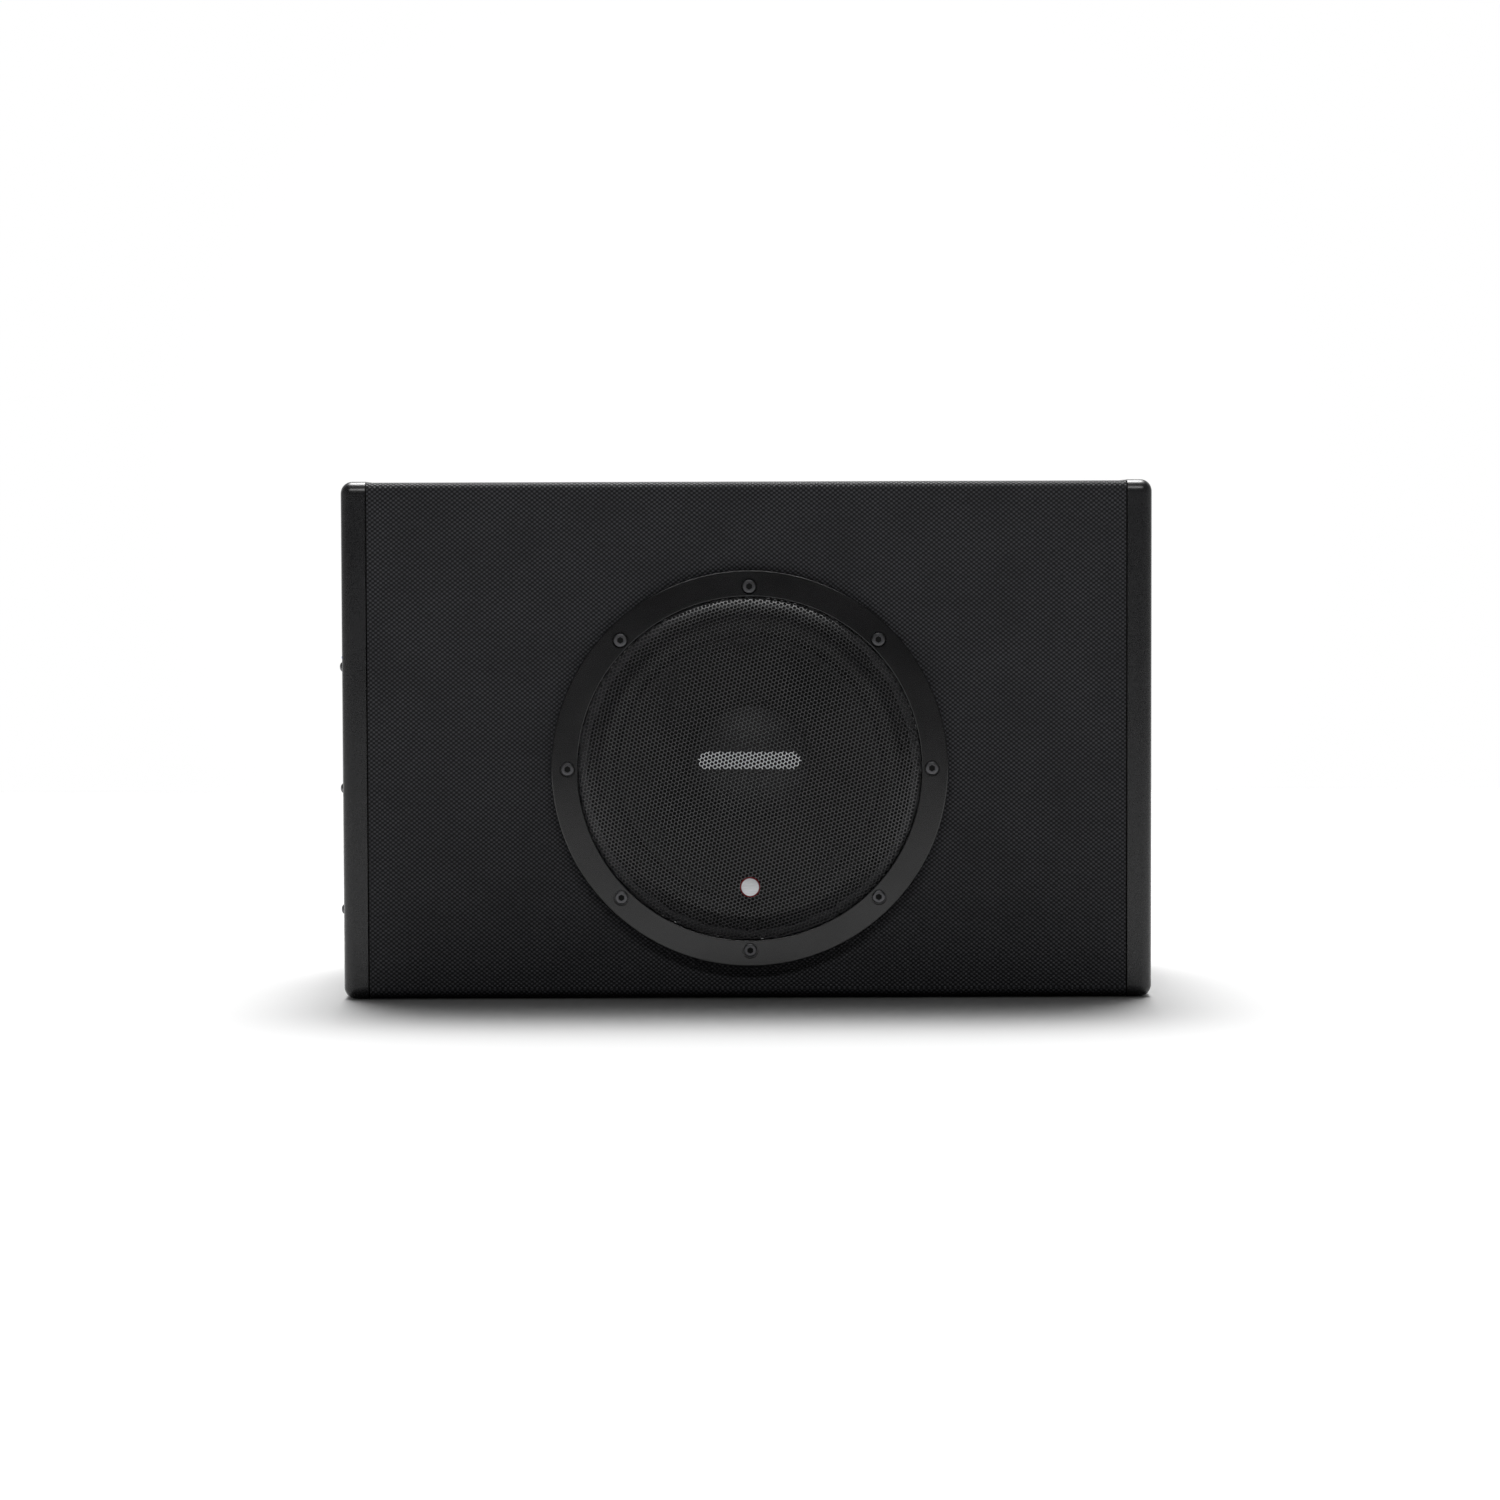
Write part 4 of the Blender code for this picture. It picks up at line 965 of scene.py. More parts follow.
# %% The tub
PANEL_THICK = 0.0025
PANEL_CORNER = 0.0055
TUB_HALF_Y = 0.0800
TUB_HALF_Z = 0.0600
TUB_DEPTH = 0.0070
TUB_CORNER = 0.0060
TUB_FLOOR = AMP_FACE + TUB_DEPTH
CONTROL_Z = sum(corner.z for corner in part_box("gain_knob")) / 2
SOCKET_Z = sum(corner.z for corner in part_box("rca_jack_left")) / 2


def amp_block(name, near, far, half_y, half_z, corner):
    """A rounded block round the panel's middle, between two distances along X."""
    low = (near, AMP_Y - half_y, AMP_Z - half_z)
    high = (far, AMP_Y + half_y, AMP_Z + half_z)
    return rounded_tool(name, low, high, corner)


def rounded_rim(piece, x, width, segments):
    """Rounds the edges that lie in one plane across X."""
    pick(piece, "EDGE", lambda edge: all(abs(v.co.x - x) < 1e-6 for v in edge.verts))
    bevel_picked(width, segments)
    return in_hand(piece)


half_y = (panel_high.y - panel_low.y) / 2
half_z = (panel_high.z - panel_low.z) / 2
panel = amp_block("amplifier_panel", AMP_FACE, AMP_FACE + PANEL_THICK, half_y, half_z, PANEL_CORNER)
rounded_rim(panel, AMP_FACE, 0.0006, 3)
shell = amp_block(
    "tub_shell",
    AMP_FACE + 0.0010,
    TUB_FLOOR + PANEL_THICK,
    TUB_HALF_Y + PANEL_THICK,
    TUB_HALF_Z + PANEL_THICK,
    TUB_CORNER + PANEL_THICK,
)
rounded_rim(shell, TUB_FLOOR + PANEL_THICK, 0.0015, 3)
apply_modifier(panel, "BOOLEAN", object=shell, operation="UNION", solver="EXACT")
bpy.data.objects.remove(shell, do_unlink=True)
hollow = amp_block("tub_hollow", AMP_FACE - 0.0100, TUB_FLOOR, TUB_HALF_Y, TUB_HALF_Z, TUB_CORNER)
rounded_rim(hollow, TUB_FLOOR, 0.0012, 4)
cut_out(panel, [hollow])
pick(
    panel,
    "EDGE",
    lambda edge: all(
        abs(v.co.x - AMP_FACE) < 1e-6
        and abs(v.co.y - AMP_Y) < TUB_HALF_Y + 1e-4
        and abs(v.co.z - AMP_Z) < TUB_HALF_Z + 1e-4
        for v in edge.verts
    ),
)
bevel_picked(0.0008, 3)
in_hand(panel)
print("panel before its holes:", len(panel.data.polygons), "faces")

# %% Its holes and windows
KNOB_BODIES = {
    "gain_knob": "gain_control",
    "crossover_knob": "crossover_control",
    "bass_boost_knob": "bass_boost_control",
}
CUT_FROM = -0.2300


def middle_of(name):
    low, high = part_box(name)
    return (low + high) / 2


def through(name, y, z, radius, sides=48):
    return rod(name, (AMP_FACE - 0.002, y, z), 0.020, radius, "X", sides)


def window_tool(name, y, z, half_y, half_z, radius=0.0008):
    return rounded_tool(name, (-0.2320, y - half_y, z - half_z), (-0.2150, y + half_y, z + half_z), radius)


screw_places = [middle_of(f"panel_screw_{index}") for index in range(1, 7)]
tools = [through("screw_hole", place.y, place.z, 0.0020) for place in screw_places]
led_place = middle_of("power_led")
tools.append(through("led_hole", led_place.y, led_place.z, 0.0018))
tools += [through("shaft_hole", middle_of(name).y, CONTROL_Z, 0.0034) for name in KNOB_BODIES]
jack_names = ("rca_jack_left", "rca_jack_right")
tools += [through("jack_hole", middle_of(name).y, SOCKET_Z, 0.0045) for name in jack_names]
switch_place = middle_of("phase_switch")
SWITCH_TRAVEL = 0.004
tools.append(window_tool("slot", switch_place.y + SWITCH_TRAVEL / 2, CONTROL_Z, 0.0048, 0.0024))
SOCKET_GAP = 0.0003
for name in ("power_terminal_block", "speaker_level_socket", "remote_port"):
    low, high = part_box(name)
    half = (high - low) / 2
    centre = middle_of(name)
    tools.append(window_tool(name + "_window", centre.y, centre.z, half.y + SOCKET_GAP, half.z + SOCKET_GAP))
cut_out(panel, tools)
finish(panel, "enclosure", amp_paint, ["amp_panel"], smooth=30)

# %% [markdown]
# ## Printed marks
# A scale of short lines round each knob is screen printed in pale ink. One line is modelled,
# turned round the knob's axis and copied, and all of them are joined as one thin layer of ink.

# %% Scales round the knobs, and frames round the sockets
INK_THICK = 0.00008
INK_X = TUB_FLOOR - INK_THICK
SCALE_TICKS = 11
SCALE_SWEEP = math.radians(280)


def ink_line(name, y0, z0, y1, z1):
    return box_between(name, (INK_X, min(y0, y1), min(z0, z1)), (TUB_FLOOR, max(y0, y1), max(z0, z1)))


marks = []
for name in KNOB_BODIES:
    knob_y = middle_of(name).y
    for tick in range(SCALE_TICKS):
        angle = SCALE_SWEEP * (tick / (SCALE_TICKS - 1) - 0.5)
        long_one = tick in (0, SCALE_TICKS // 2, SCALE_TICKS - 1)
        reach = 0.0100 if long_one else 0.0092
        line = ink_line("tick", knob_y - 0.00018, CONTROL_Z + 0.0078, knob_y + 0.00018, CONTROL_Z + reach)
        all_of(line)
        bpy.ops.transform.rotate(
            value=angle, orient_axis="X", center_override=(TUB_FLOOR, knob_y, CONTROL_Z)
        )
        in_hand(line)
        marks.append(line)
LINE = 0.0004
for name in ("power_terminal_block", "speaker_level_socket", "remote_port"):
    low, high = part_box(name)
    y0, y1, z0, z1 = low.y - 0.0022, high.y + 0.0022, low.z - 0.0022, high.z + 0.0022
    marks.append(ink_line("frame_foot", y0, z0, y1, z0 + LINE))
    marks.append(ink_line("frame_top", y0, z1 - LINE, y1, z1))
    marks.append(ink_line("frame_left", y0, z0 + LINE, y0 + LINE, z1 - LINE))
    marks.append(ink_line("frame_right", y1 - LINE, z0 + LINE, y1, z1 - LINE))
jack_y = [middle_of(name).y for name in jack_names]
marks.append(ink_line("pair_line", min(jack_y), SOCKET_Z + 0.0082, max(jack_y), SOCKET_Z + 0.0086))
for y in jack_y:
    marks.append(ink_line("pair_end", y - LINE / 2, SOCKET_Z + 0.0068, y + LINE / 2, SOCKET_Z + 0.0082))
for shift in (-0.0022, 0.0062):
    y = switch_place.y + shift
    marks.append(ink_line("end_mark", y - LINE / 2, CONTROL_Z + 0.0036, y + LINE / 2, CONTROL_Z + 0.0054))
printed = joined(marks, "printed_scales")
finish(printed, "enclosure", pale_ink, weighted=False)

# %% [markdown]
# ## Panel screws
# Button heads with a hexagon socket. The dome is one arc in the turned section.

# %% Six panel screws
dome_height = 0.0022
panel_head = [(0.0, -0.2327)] + arc((0.0004, -0.2305), 0.0026, dome_height, -84, 0, 8)
panel_shank = threaded(0.0016, -0.2301, -0.2206, 0.0008) + [(0.0008, -0.2198), (0.0, -0.2194)]
outline = panel_head + [(0.0016, -0.2305)] + panel_shank
first_place = Vector((0, screw_places[0].y, screw_places[0].z))
first_panel_screw = socket_screw("panel_button_screw_1", outline, first_place, "X", 0.0012, -0.2327, 0.0014)
for index, place in enumerate(screw_places[1:], 2):
    screw = copy_of(first_panel_screw, f"panel_button_screw_{index}", place - screw_places[0])
    finish(screw, "enclosure", [black_oxide, socket_painted_shade], [f"panel_screw_{index}"])
finish(first_panel_screw, "enclosure", [black_oxide, socket_painted_shade], ["panel_screw_1"])

# %% [markdown]
# ## Knobs and the slide switch
# A thumb turns these knobs, so their sides are fluted. The blank is turned, eighteen round
# grooves are cut along it in one go, and a pointer slot is cut and filled with pale ink.

# %% Fluted knobs
FLUTES = 18
KNOB_RADIUS = 0.0060


def fluted_knob(name, y):
    centre = Vector((0, y, CONTROL_Z))
    crown = [(0.0, -0.2288), (0.0036, -0.2288), (0.0040, -0.2290)]
    edge = arc((0.0049, -0.2283), 0.0007, 0.0007, -90, -8, 5)
    skirt = [(KNOB_RADIUS - 0.0001, -0.2243), (KNOB_RADIUS, -0.2241), (KNOB_RADIUS, -0.2236)]
    shaft = [(0.0030, -0.2236), (0.0030, -0.2009), (0.0027, -0.2006), (0.0, -0.2006)]
    knob = turned(name, crown + edge + skirt + shaft, centre, "X", 72)
    grooves = []
    for flute in range(FLUTES):
        angle = math.tau * (flute + 0.5) / FLUTES
        reach = KNOB_RADIUS + 0.0001
        start = centre + Vector((-0.2310, reach * math.sin(angle), reach * math.cos(angle)))
        grooves.append(rod("groove", start, 0.0066, 0.0006, "X", 10))
    cut_out(knob, grooves)
    pointer_low = (-0.2295, y - 0.0004, CONTROL_Z + 0.0012)
    pointer_high = (-0.2285, y + 0.0004, CONTROL_Z + 0.0070)
    cut_out(knob, [box_between("pointer_tool", pointer_low, pointer_high)])
    knob.data.materials.append(knob_plastic)
    knob.data.materials.append(pale_ink)
    for face in knob.data.polygons:
        inside = abs(face.center.y - y) < 0.00041 and face.center.z > CONTROL_Z + 0.0011
        face.material_index = int(inside and -0.2287 < face.center.x < -0.2283)
    return knob


for node_name, body in KNOB_BODIES.items():
    knob = fluted_knob("fluted_" + node_name, middle_of(node_name).y)
    finish(knob, body, [knob_plastic, pale_ink], [node_name], smooth=30)

# %% The slide switch's toggle
low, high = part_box("phase_switch")
toggle = box_between("switch_toggle", low, high)
pick(toggle, "FACE", lambda face: face.normal.x < -0.9)
bpy.ops.mesh.inset(thickness=0.0003)
in_hand(toggle)
ridges = []
for step in range(4):
    y = low.y + 0.0008 + step * (high.y - low.y - 0.0016) / 3
    ridge_low = (low.x - 0.001, y - 0.00022, low.z - 0.001)
    ridge_high = (low.x + 0.0005, y + 0.00022, high.z + 0.001)
    ridges.append(box_between("ridge_tool", ridge_low, ridge_high))
cut_out(toggle, ridges)
pick(toggle, "EDGE", lambda edge: abs(edge.verts[0].co.x - edge.verts[1].co.x) > 0.005)
bevel_picked(0.0003, 3)
in_hand(toggle)
finish(toggle, "phase_control", knob_plastic, ["phase_switch"])

# %% [markdown]
# ## Phono sockets
# A turned gold barrel over a coloured insulator, white for left and red for right, with a round
# washer of the same colour under it. Section, spin and colour by distance from the axis.

# %% A pair of phono sockets
insulator_colours = {
    "rca_jack_left": grained("white_insulator", (0.75, 0.75, 0.73), 0.35, 0.0006, 0.00001, change=0.06),
    "rca_jack_right": grained("red_insulator", (0.55, 0.02, 0.02), 0.35, 0.0006, 0.00001, change=0.10),
}
BARREL = 0.0041
for name, colour in insulator_colours.items():
    centre = Vector((0, middle_of(name).y, SOCKET_Z))
    bore = [(0.0, -0.2215), (0.0015, -0.2215), (0.0015, -0.2290), (0.0018, -0.2293), (0.0031, -0.2293)]
    lip = [(0.0031, -0.2297)] + arc((0.0036, -0.2296), 0.0005, 0.0004, -180, 0, 6)
    barrel = [(BARREL, -0.2262), (BARREL - 0.0002, -0.2260), (BARREL - 0.0002, -0.2256), (BARREL, -0.2254)]
    body = [(BARREL, -0.2206), (0.0060, -0.2206), (0.0062, -0.2204)]
    body += [(0.0062, -0.2008), (0.0060, -0.2006), (0.0, -0.2006)]
    socket = turned("phono_socket", bore + lip + barrel + body, centre, "X", 64)
    washer_outline = [(0.00425, TUB_FLOOR - 0.00005), (0.00425, TUB_FLOOR - 0.0009)]
    washer_outline += [(0.0054, TUB_FLOOR - 0.0009)]
    washer_outline += arc((0.0054, TUB_FLOOR - 0.00055), 0.00035, 0.00035, -90, 0, 4)
    washer_outline += [(0.00575, TUB_FLOOR - 0.00005), (0.00425, TUB_FLOOR - 0.00005)]
    washer = turned("washer", washer_outline, centre, "X", 64)
    socket = joined([socket, washer], "phono_socket_" + name.split("_")[-1])
    socket.data.materials.append(gold_plate)
    socket.data.materials.append(colour)
    for face in socket.data.polygons:
        reach = (face.center - centre).yz.length
        insulator = reach < 0.0031 and face.center.x < -0.2217
        coloured_washer = reach > 0.0042 and face.center.x < TUB_FLOOR
        face.material_index = int(insulator or coloured_washer or face.center.x > -0.2207)
    finish(socket, "enclosure", [gold_plate, colour], [name], smooth=30)

# %% [markdown]
# ## Power terminals and the fuse
# Three square mouths take the power, ground and switching leads, and a set screw above each one
# clamps it. The block is cut in one go; the clamps and screws are turned or cut once and copied.

# %% The terminal block
power_low, power_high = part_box("power_terminal_block")
POWER_Y = (power_low.y + power_high.y) / 2
POWER_Z = (power_low.z + power_high.z) / 2
ENTRY_OFFSETS = (-0.0220, -0.0090, 0.0040)
ENTRY_HALF = 0.0042
ENTRY_LOW = POWER_Z - 0.0060
ENTRY_HIGH = POWER_Z + 0.0040
FUSE_Y = POWER_Y + 0.0210
SET_SCREW_Z = POWER_Z + 0.0073
SET_SCREW_RADIUS = 0.0023

terminal = box_between("power_terminals", power_low, power_high)
pick(terminal, "EDGE", lambda edge: all(abs(v.co.x - power_low.x) < 1e-6 for v in edge.verts))
bevel_picked(0.0007, 3)
tools = []
for offset in ENTRY_OFFSETS:
    y = POWER_Y + offset
    tools.append(
        rounded_tool(
            "entry",
            (CUT_FROM, y - ENTRY_HALF, ENTRY_LOW),
            (-0.2170, y + ENTRY_HALF, ENTRY_HIGH),
            0.0008,
        )
    )
    tools.append(rod("screw_well", (-0.2300, y, SET_SCREW_Z), 0.0020, SET_SCREW_RADIUS + 0.0003, "X", 32))
tools.append(
    rounded_tool(
        "fuse_well",
        (CUT_FROM, FUSE_Y - 0.0033, POWER_Z - 0.0098),
        (-0.2180, FUSE_Y + 0.0033, POWER_Z + 0.0098),
        0.0005,
    )
)
for offset in (-0.0155, -0.0025, 0.0120):
    y = POWER_Y + offset
    groove_low = (CUT_FROM, y - 0.0003, POWER_Z - 0.0120)
    groove_high = (-0.2286, y + 0.0003, POWER_Z + 0.0120)
    tools.append(box_between("groove", groove_low, groove_high))
cut_out(terminal, tools)
finish(terminal, "enclosure", nylon, ["power_terminal_block"], smooth=30)

# %% Clamps and set screws inside it
clamps = []
for offset in ENTRY_OFFSETS:
    y = POWER_Y + offset
    inside = 0.0004
    clamp = box_between(
        "clamp",
        (-0.2270, y - ENTRY_HALF + inside, ENTRY_LOW + inside),
        (-0.2175, y + ENTRY_HALF - inside, ENTRY_HIGH - inside),
    )
    pick(clamp, "FACE", lambda face: face.normal.x < -0.9)
    bpy.ops.mesh.inset(thickness=0.0010)
    bpy.ops.mesh.extrude_region_move(TRANSFORM_OT_translate={"value": (0.0085, 0, 0)})
    in_hand(clamp)
    clamps.append(clamp)
    well = [(0.0, -0.2282)] + arc((SET_SCREW_RADIUS - 0.0003, -0.2279), 0.0003, 0.0003, -90, 0, 3)
    well += [(SET_SCREW_RADIUS, -0.2272), (0.0, -0.2272)]
    clamps.append(socket_screw("set_screw", well, Vector((0, y, SET_SCREW_Z)), "X", 0.0012, -0.2282, 0.0007))
metalwork = joined(clamps, "terminal_clamps")
finish(metalwork, "enclosure", nickel_plate, weighted=False)

# %% The blade fuse
fuse_low, fuse_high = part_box("fuse")
fuse_body = box_between("blade_fuse", fuse_low, fuse_high)
pick(fuse_body, "EDGE", lambda edge: abs(edge.verts[0].co.x - edge.verts[1].co.x) > 0.005)
bevel_picked(0.0006, 4)
pick(fuse_body, "FACE", lambda face: face.normal.x < -0.9)
bpy.ops.mesh.inset(thickness=0.0005)
bpy.ops.mesh.extrude_region_move(TRANSFORM_OT_translate={"value": (0.0004, 0, 0)})
in_hand(fuse_body)
slots = []
for side in (-1, 1):
    z = POWER_Z + side * 0.0055
    slot_low = (CUT_FROM, FUSE_Y - 0.0006, z - 0.0016)
    slot_high = (-0.2285, FUSE_Y + 0.0006, z + 0.0016)
    slots.append(box_between("test_slot", slot_low, slot_high))
cut_out(fuse_body, slots)
fuse_body.data.materials.append(fuse_plastic)
fuse_body.data.materials.append(nickel_plate)
for face in fuse_body.data.polygons:
    face.material_index = int(face.normal.x < -0.9 and abs(face.center.x + 0.2285) < 1e-5)
finish(fuse_body, "enclosure", [fuse_plastic, nickel_plate], ["fuse"])

# %% [markdown]
# ## The two plug sockets and the lamp
# The speaker-level input and the remote control's port are shrouded sockets with blade pins.
# Each is a block whose face is insetted and pushed in, with its pins standing on the bottom.


# %% Shrouded sockets
def shrouded(name, node_name, half_y, half_z, pins, finishes):
    low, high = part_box(node_name)
    centre = middle_of(node_name)
    socket = box_between(name, low, high)
    pick(socket, "EDGE", lambda edge: all(abs(v.co.x - low.x) < 1e-6 for v in edge.verts))
    bevel_picked(0.0005, 2)
    mouth = rounded_tool(
        "mouth",
        (CUT_FROM, centre.y - half_y, centre.z - half_z),
        (-0.2195, centre.y + half_y, centre.z + half_z),
        0.0006,
    )
    key_low = (CUT_FROM, centre.y - 0.0012, centre.z + half_z - 0.0005)
    key_high = (-0.2225, centre.y + 0.0012, centre.z + half_z + 0.0008)
    key = box_between("key", key_low, key_high)
    cut_out(socket, [mouth])
    cut_out(socket, [key])
    socket.data.materials.append(finishes[0])
    socket.data.materials.append(finishes[1])
    blades = []
    for y, z in pins:
        blade = box_between(
            "pin",
            (-0.2262, centre.y + y - 0.0004, centre.z + z - 0.0009),
            (-0.21945, centre.y + y + 0.0004, centre.z + z + 0.0009),
        )
        pick(blade, "EDGE", lambda edge: all(abs(v.co.x + 0.2262) < 1e-6 for v in edge.verts))
        bevel_picked(0.0002, 2)
        in_hand(blade)
        blade.data.materials.append(finishes[0])
        blade.data.materials.append(finishes[1])
        for face in blade.data.polygons:
            face.material_index = 1
        blades.append(blade)
    socket = joined([socket] + blades, name)
    return finish(socket, "enclosure", finishes, [node_name])


four_pins = [(step * 0.0042, 0.0) for step in (-1.5, -0.5, 0.5, 1.5)]
two_rows = [(y, z) for y in (-0.0024, 0.0, 0.0024) for z in (-0.0018, 0.0018)]
shrouded("speaker_input", "speaker_level_socket", 0.0090, 0.0041, four_pins, [nylon, nickel_plate])
shrouded("remote_control_port", "remote_port", 0.0048, 0.0041, two_rows, [nylon, nickel_plate])

# %% The power lamp
lamp_outline = [(0.0, -0.2314)] + arc((0.0, -0.2299), 0.0015, 0.0015, -90, 0, 8)[1:]
lamp_outline += [(0.0015, -0.2277), (0.0, -0.2277)]
lamp = turned("power_lamp", lamp_outline, Vector((0, led_place.y, led_place.z)), "X", 32)
finish(lamp, "enclosure", led_lens, ["power_led"])

# %% [markdown]
# ## Inside the driver
# These parts are sealed in the box, yet each is a piece of its own on a bench: a spider that
# centres the coil, a foil former with its winding, plates, a magnet, and flexible leads. Nearly
# all are lathe work, so one short function turns a section and hands the piece over.


# %% Lathe pieces of the motor
def lathe_piece(name, outline, body, finish_used, node_name, steps=96):
    piece = turned(name, outline, DRIVER, "Y", steps)
    return finish(piece, body, finish_used, [node_name])


def chamfered_ring(inner, outer, front, back, cut=0.0006):
    """A ring's section with its four edges taken off."""
    return [
        (inner, front + cut),
        (inner + cut, front),
        (outer - cut, front),
        (outer, front + cut),
        (outer, back - cut),
        (outer - cut, back),
        (inner + cut, back),
        (inner, back - cut),
        (inner, front + cut),
    ]


zinc_plate = grained("zinc_plate", (0.55, 0.55, 0.57), 0.35, 0.0030, 0.00002, metallic=1.0, change=0.15)
ferrite = grained("ferrite", (0.045, 0.045, 0.050), 0.60, 0.0012, 0.00004)
former_foil = grained("former_foil", (0.75, 0.75, 0.77), 0.30, 0.0020, 0.00003, metallic=1.0, change=0.1)
copper_wire = grained("copper_wire", (0.72, 0.36, 0.18), 0.35, 0.0010, 0.00004, metallic=1.0)
spider_cloth = grained("spider_cloth", (0.62, 0.45, 0.16), 0.90, 0.0005, 0.00012, change=0.35)

top_plate_outline = chamfered_ring(0.0274, 0.0500, -0.0487, -0.0417)
lathe_piece("motor_top_plate", top_plate_outline, "enclosure", zinc_plate, "top_plate")
magnet_outline = chamfered_ring(0.0330, 0.0600, -0.0414, -0.0194, 0.0010)
lathe_piece("ring_magnet", magnet_outline, "enclosure", ferrite, "magnet")
pole_outline = [
    (0.0540, -0.0191),
    (0.0238, -0.0191),
    (0.0238, -0.0470),
    (0.0228, -0.0480),
    (0.0066, -0.0480),
    (0.0060, -0.0474),
    (0.0060, -0.0126),
    (0.0064, -0.0121),
    (0.0535, -0.0121),
    (0.0550, -0.0136),
    (0.0550, -0.0181),
    (0.0540, -0.0191),
]
lathe_piece("vented_pole", pole_outline, "enclosure", zinc_plate, "back_plate_pole")
former_outline = chamfered_ring(0.0246, 0.0251, -0.0690, -0.0365, 0.0001)
lathe_piece(
    "coil_former", former_outline, "cone_assembly", former_foil, "voice_coil_former"
)

# %% The winding, one ridge for each turn of wire
WIRE_TURNS = 36
winding_low, winding_high = -0.0525, -0.0380
wire = (winding_high - winding_low) / WIRE_TURNS
winding = [(0.0254, winding_low), (0.0262, winding_low)]
for turn in range(WIRE_TURNS):
    start = winding_low + wire * turn
    winding += [(0.0264, start + wire * 0.3), (0.0264, start + wire * 0.7), (0.0262, start + wire)]
winding += [(0.0254, winding_high), (0.0254, winding_low)]
lathe_piece("coil_winding", winding, "cone_assembly", copper_wire, "voice_coil", 64)

# %% The spider, a cloth disc pressed into rings of waves
WAVES = 8
WAVE_HIGH = 0.0012
CLOTH = 0.0006
SPIDER_Y = -0.0611
SPIDER_INNER, SPIDER_OUTER = 0.0268, 0.0555


def cloth_side(shift):
    """One side of the cloth, from its glued outer band in to its collar on the coil."""
    points = [(0.0605, SPIDER_Y + shift)]
    samples = WAVES * 8
    for index in range(samples + 1):
        share = index / samples
        radius = SPIDER_OUTER + (SPIDER_INNER - SPIDER_OUTER) * share
        points.append((radius, SPIDER_Y + shift - WAVE_HIGH * math.sin(math.pi * WAVES * share)))
    return points + [(0.0256, SPIDER_Y + shift)]


spider_outline = cloth_side(0.0) + cloth_side(CLOTH)[::-1] + [(0.0605, SPIDER_Y)]
spider = turned("corrugated_spider", spider_outline, DRIVER, "Y", 96)
finish(spider, None, spider_cloth, ["spider"])
share_by_radius(spider, still=SPIDER_OUTER, moving=SPIDER_INNER)

# %% [markdown]
# ## Tinsel leads
# Two flexible braided leads carry the current from the fixed terminal block to the moving cone.
# Each is a curve with a round bevel, made a mesh, so it stretches between the two bodies.


# %% A pair of flexible leads
def soft_tube(name, route, radius, resolution=10):
    """A tube round a smooth curve through the route's points, as a mesh."""
    in_hand()
    bpy.ops.curve.primitive_nurbs_path_add()
    path = bpy.context.active_object
    path.name = name
    path.data.splines.remove(path.data.splines[0])
    spline = path.data.splines.new("NURBS")
    spline.points.add(len(route) - 1)
    for point, place in zip(spline.points, route):
        point.co = (*place, 1.0)
    spline.use_endpoint_u = True
    spline.order_u = 4
    spline.resolution_u = resolution
    path.data.dimensions = "3D"
    path.data.bevel_depth = radius
    path.data.bevel_resolution = 3
    path.data.use_fill_caps = True
    path.location = (0, 0, 0)
    bpy.ops.object.convert(target="MESH")
    tube = settled(name)
    tidy_surface(tube)
    return tube


LEAD_START = DRIVER + Vector((-0.0690, -0.0605, 0))
LEAD_END = DRIVER + Vector((-0.0470, -0.0795, 0))
lead_bends = [(-0.0690, -0.0605), (-0.0697, -0.0665), (-0.0672, -0.0722)]
lead_bends += [(-0.0600, -0.0752), (-0.0520, -0.0762), (-0.0470, -0.0795)]
for node_name, side in (("tinsel_lead_positive", 1), ("tinsel_lead_negative", -1)):
    route = [DRIVER + Vector((across, along, side * 0.0060)) for across, along in lead_bends]
    lead = soft_tube("braided_" + node_name.split("_", 1)[1], route, 0.0006)
    finish(lead, None, copper_wire, [node_name], weighted=False)
    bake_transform(lead, "enclosure", "cone_assembly", start=LEAD_START, end=LEAD_END)

# %% [markdown]
# ## The damping pad
# A sheet of bonded polyester wadding lines the back of the box. Cloth simulation would puff it
# evenly, but wadding is lumpy and has no skin, so a rounded block is cut fine and its surface is
# pushed about with a slow cloud pattern.

# %% Lumpy wadding
wadding_fibre = grained("wadding", (0.80, 0.80, 0.78), 0.95, 0.0016, 0.00080, stretch=(1, 1, 0.5))
pad_low, pad_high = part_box("damping_pad")
LUMP = 0.0022
room_for_lumps = Vector((LUMP, LUMP, LUMP))
pad = box_between("fibre_wadding", pad_low + room_for_lumps, pad_high - room_for_lumps)
all_of(pad)
bpy.ops.mesh.subdivide(number_cuts=48)
in_hand(pad)
apply_modifier(pad, "SMOOTH", factor=0.5, iterations=6)
lumps = bpy.data.textures.new("lumps", "CLOUDS")
lumps.noise_scale = 0.022
apply_modifier(pad, "DISPLACE", texture=lumps, texture_coords="LOCAL", strength=LUMP * 1.6, mid_level=0.5)
finish(pad, "enclosure", wadding_fibre, ["damping_pad"], smooth=80, weighted=False)

# %% [markdown]
# ## On the circuit board
# The choke is copper wire wound on a ring: one loop of wire is modelled and copied round it. The
# capacitor is a turned can with a rolled groove, in a printed sleeve with no print on it here.

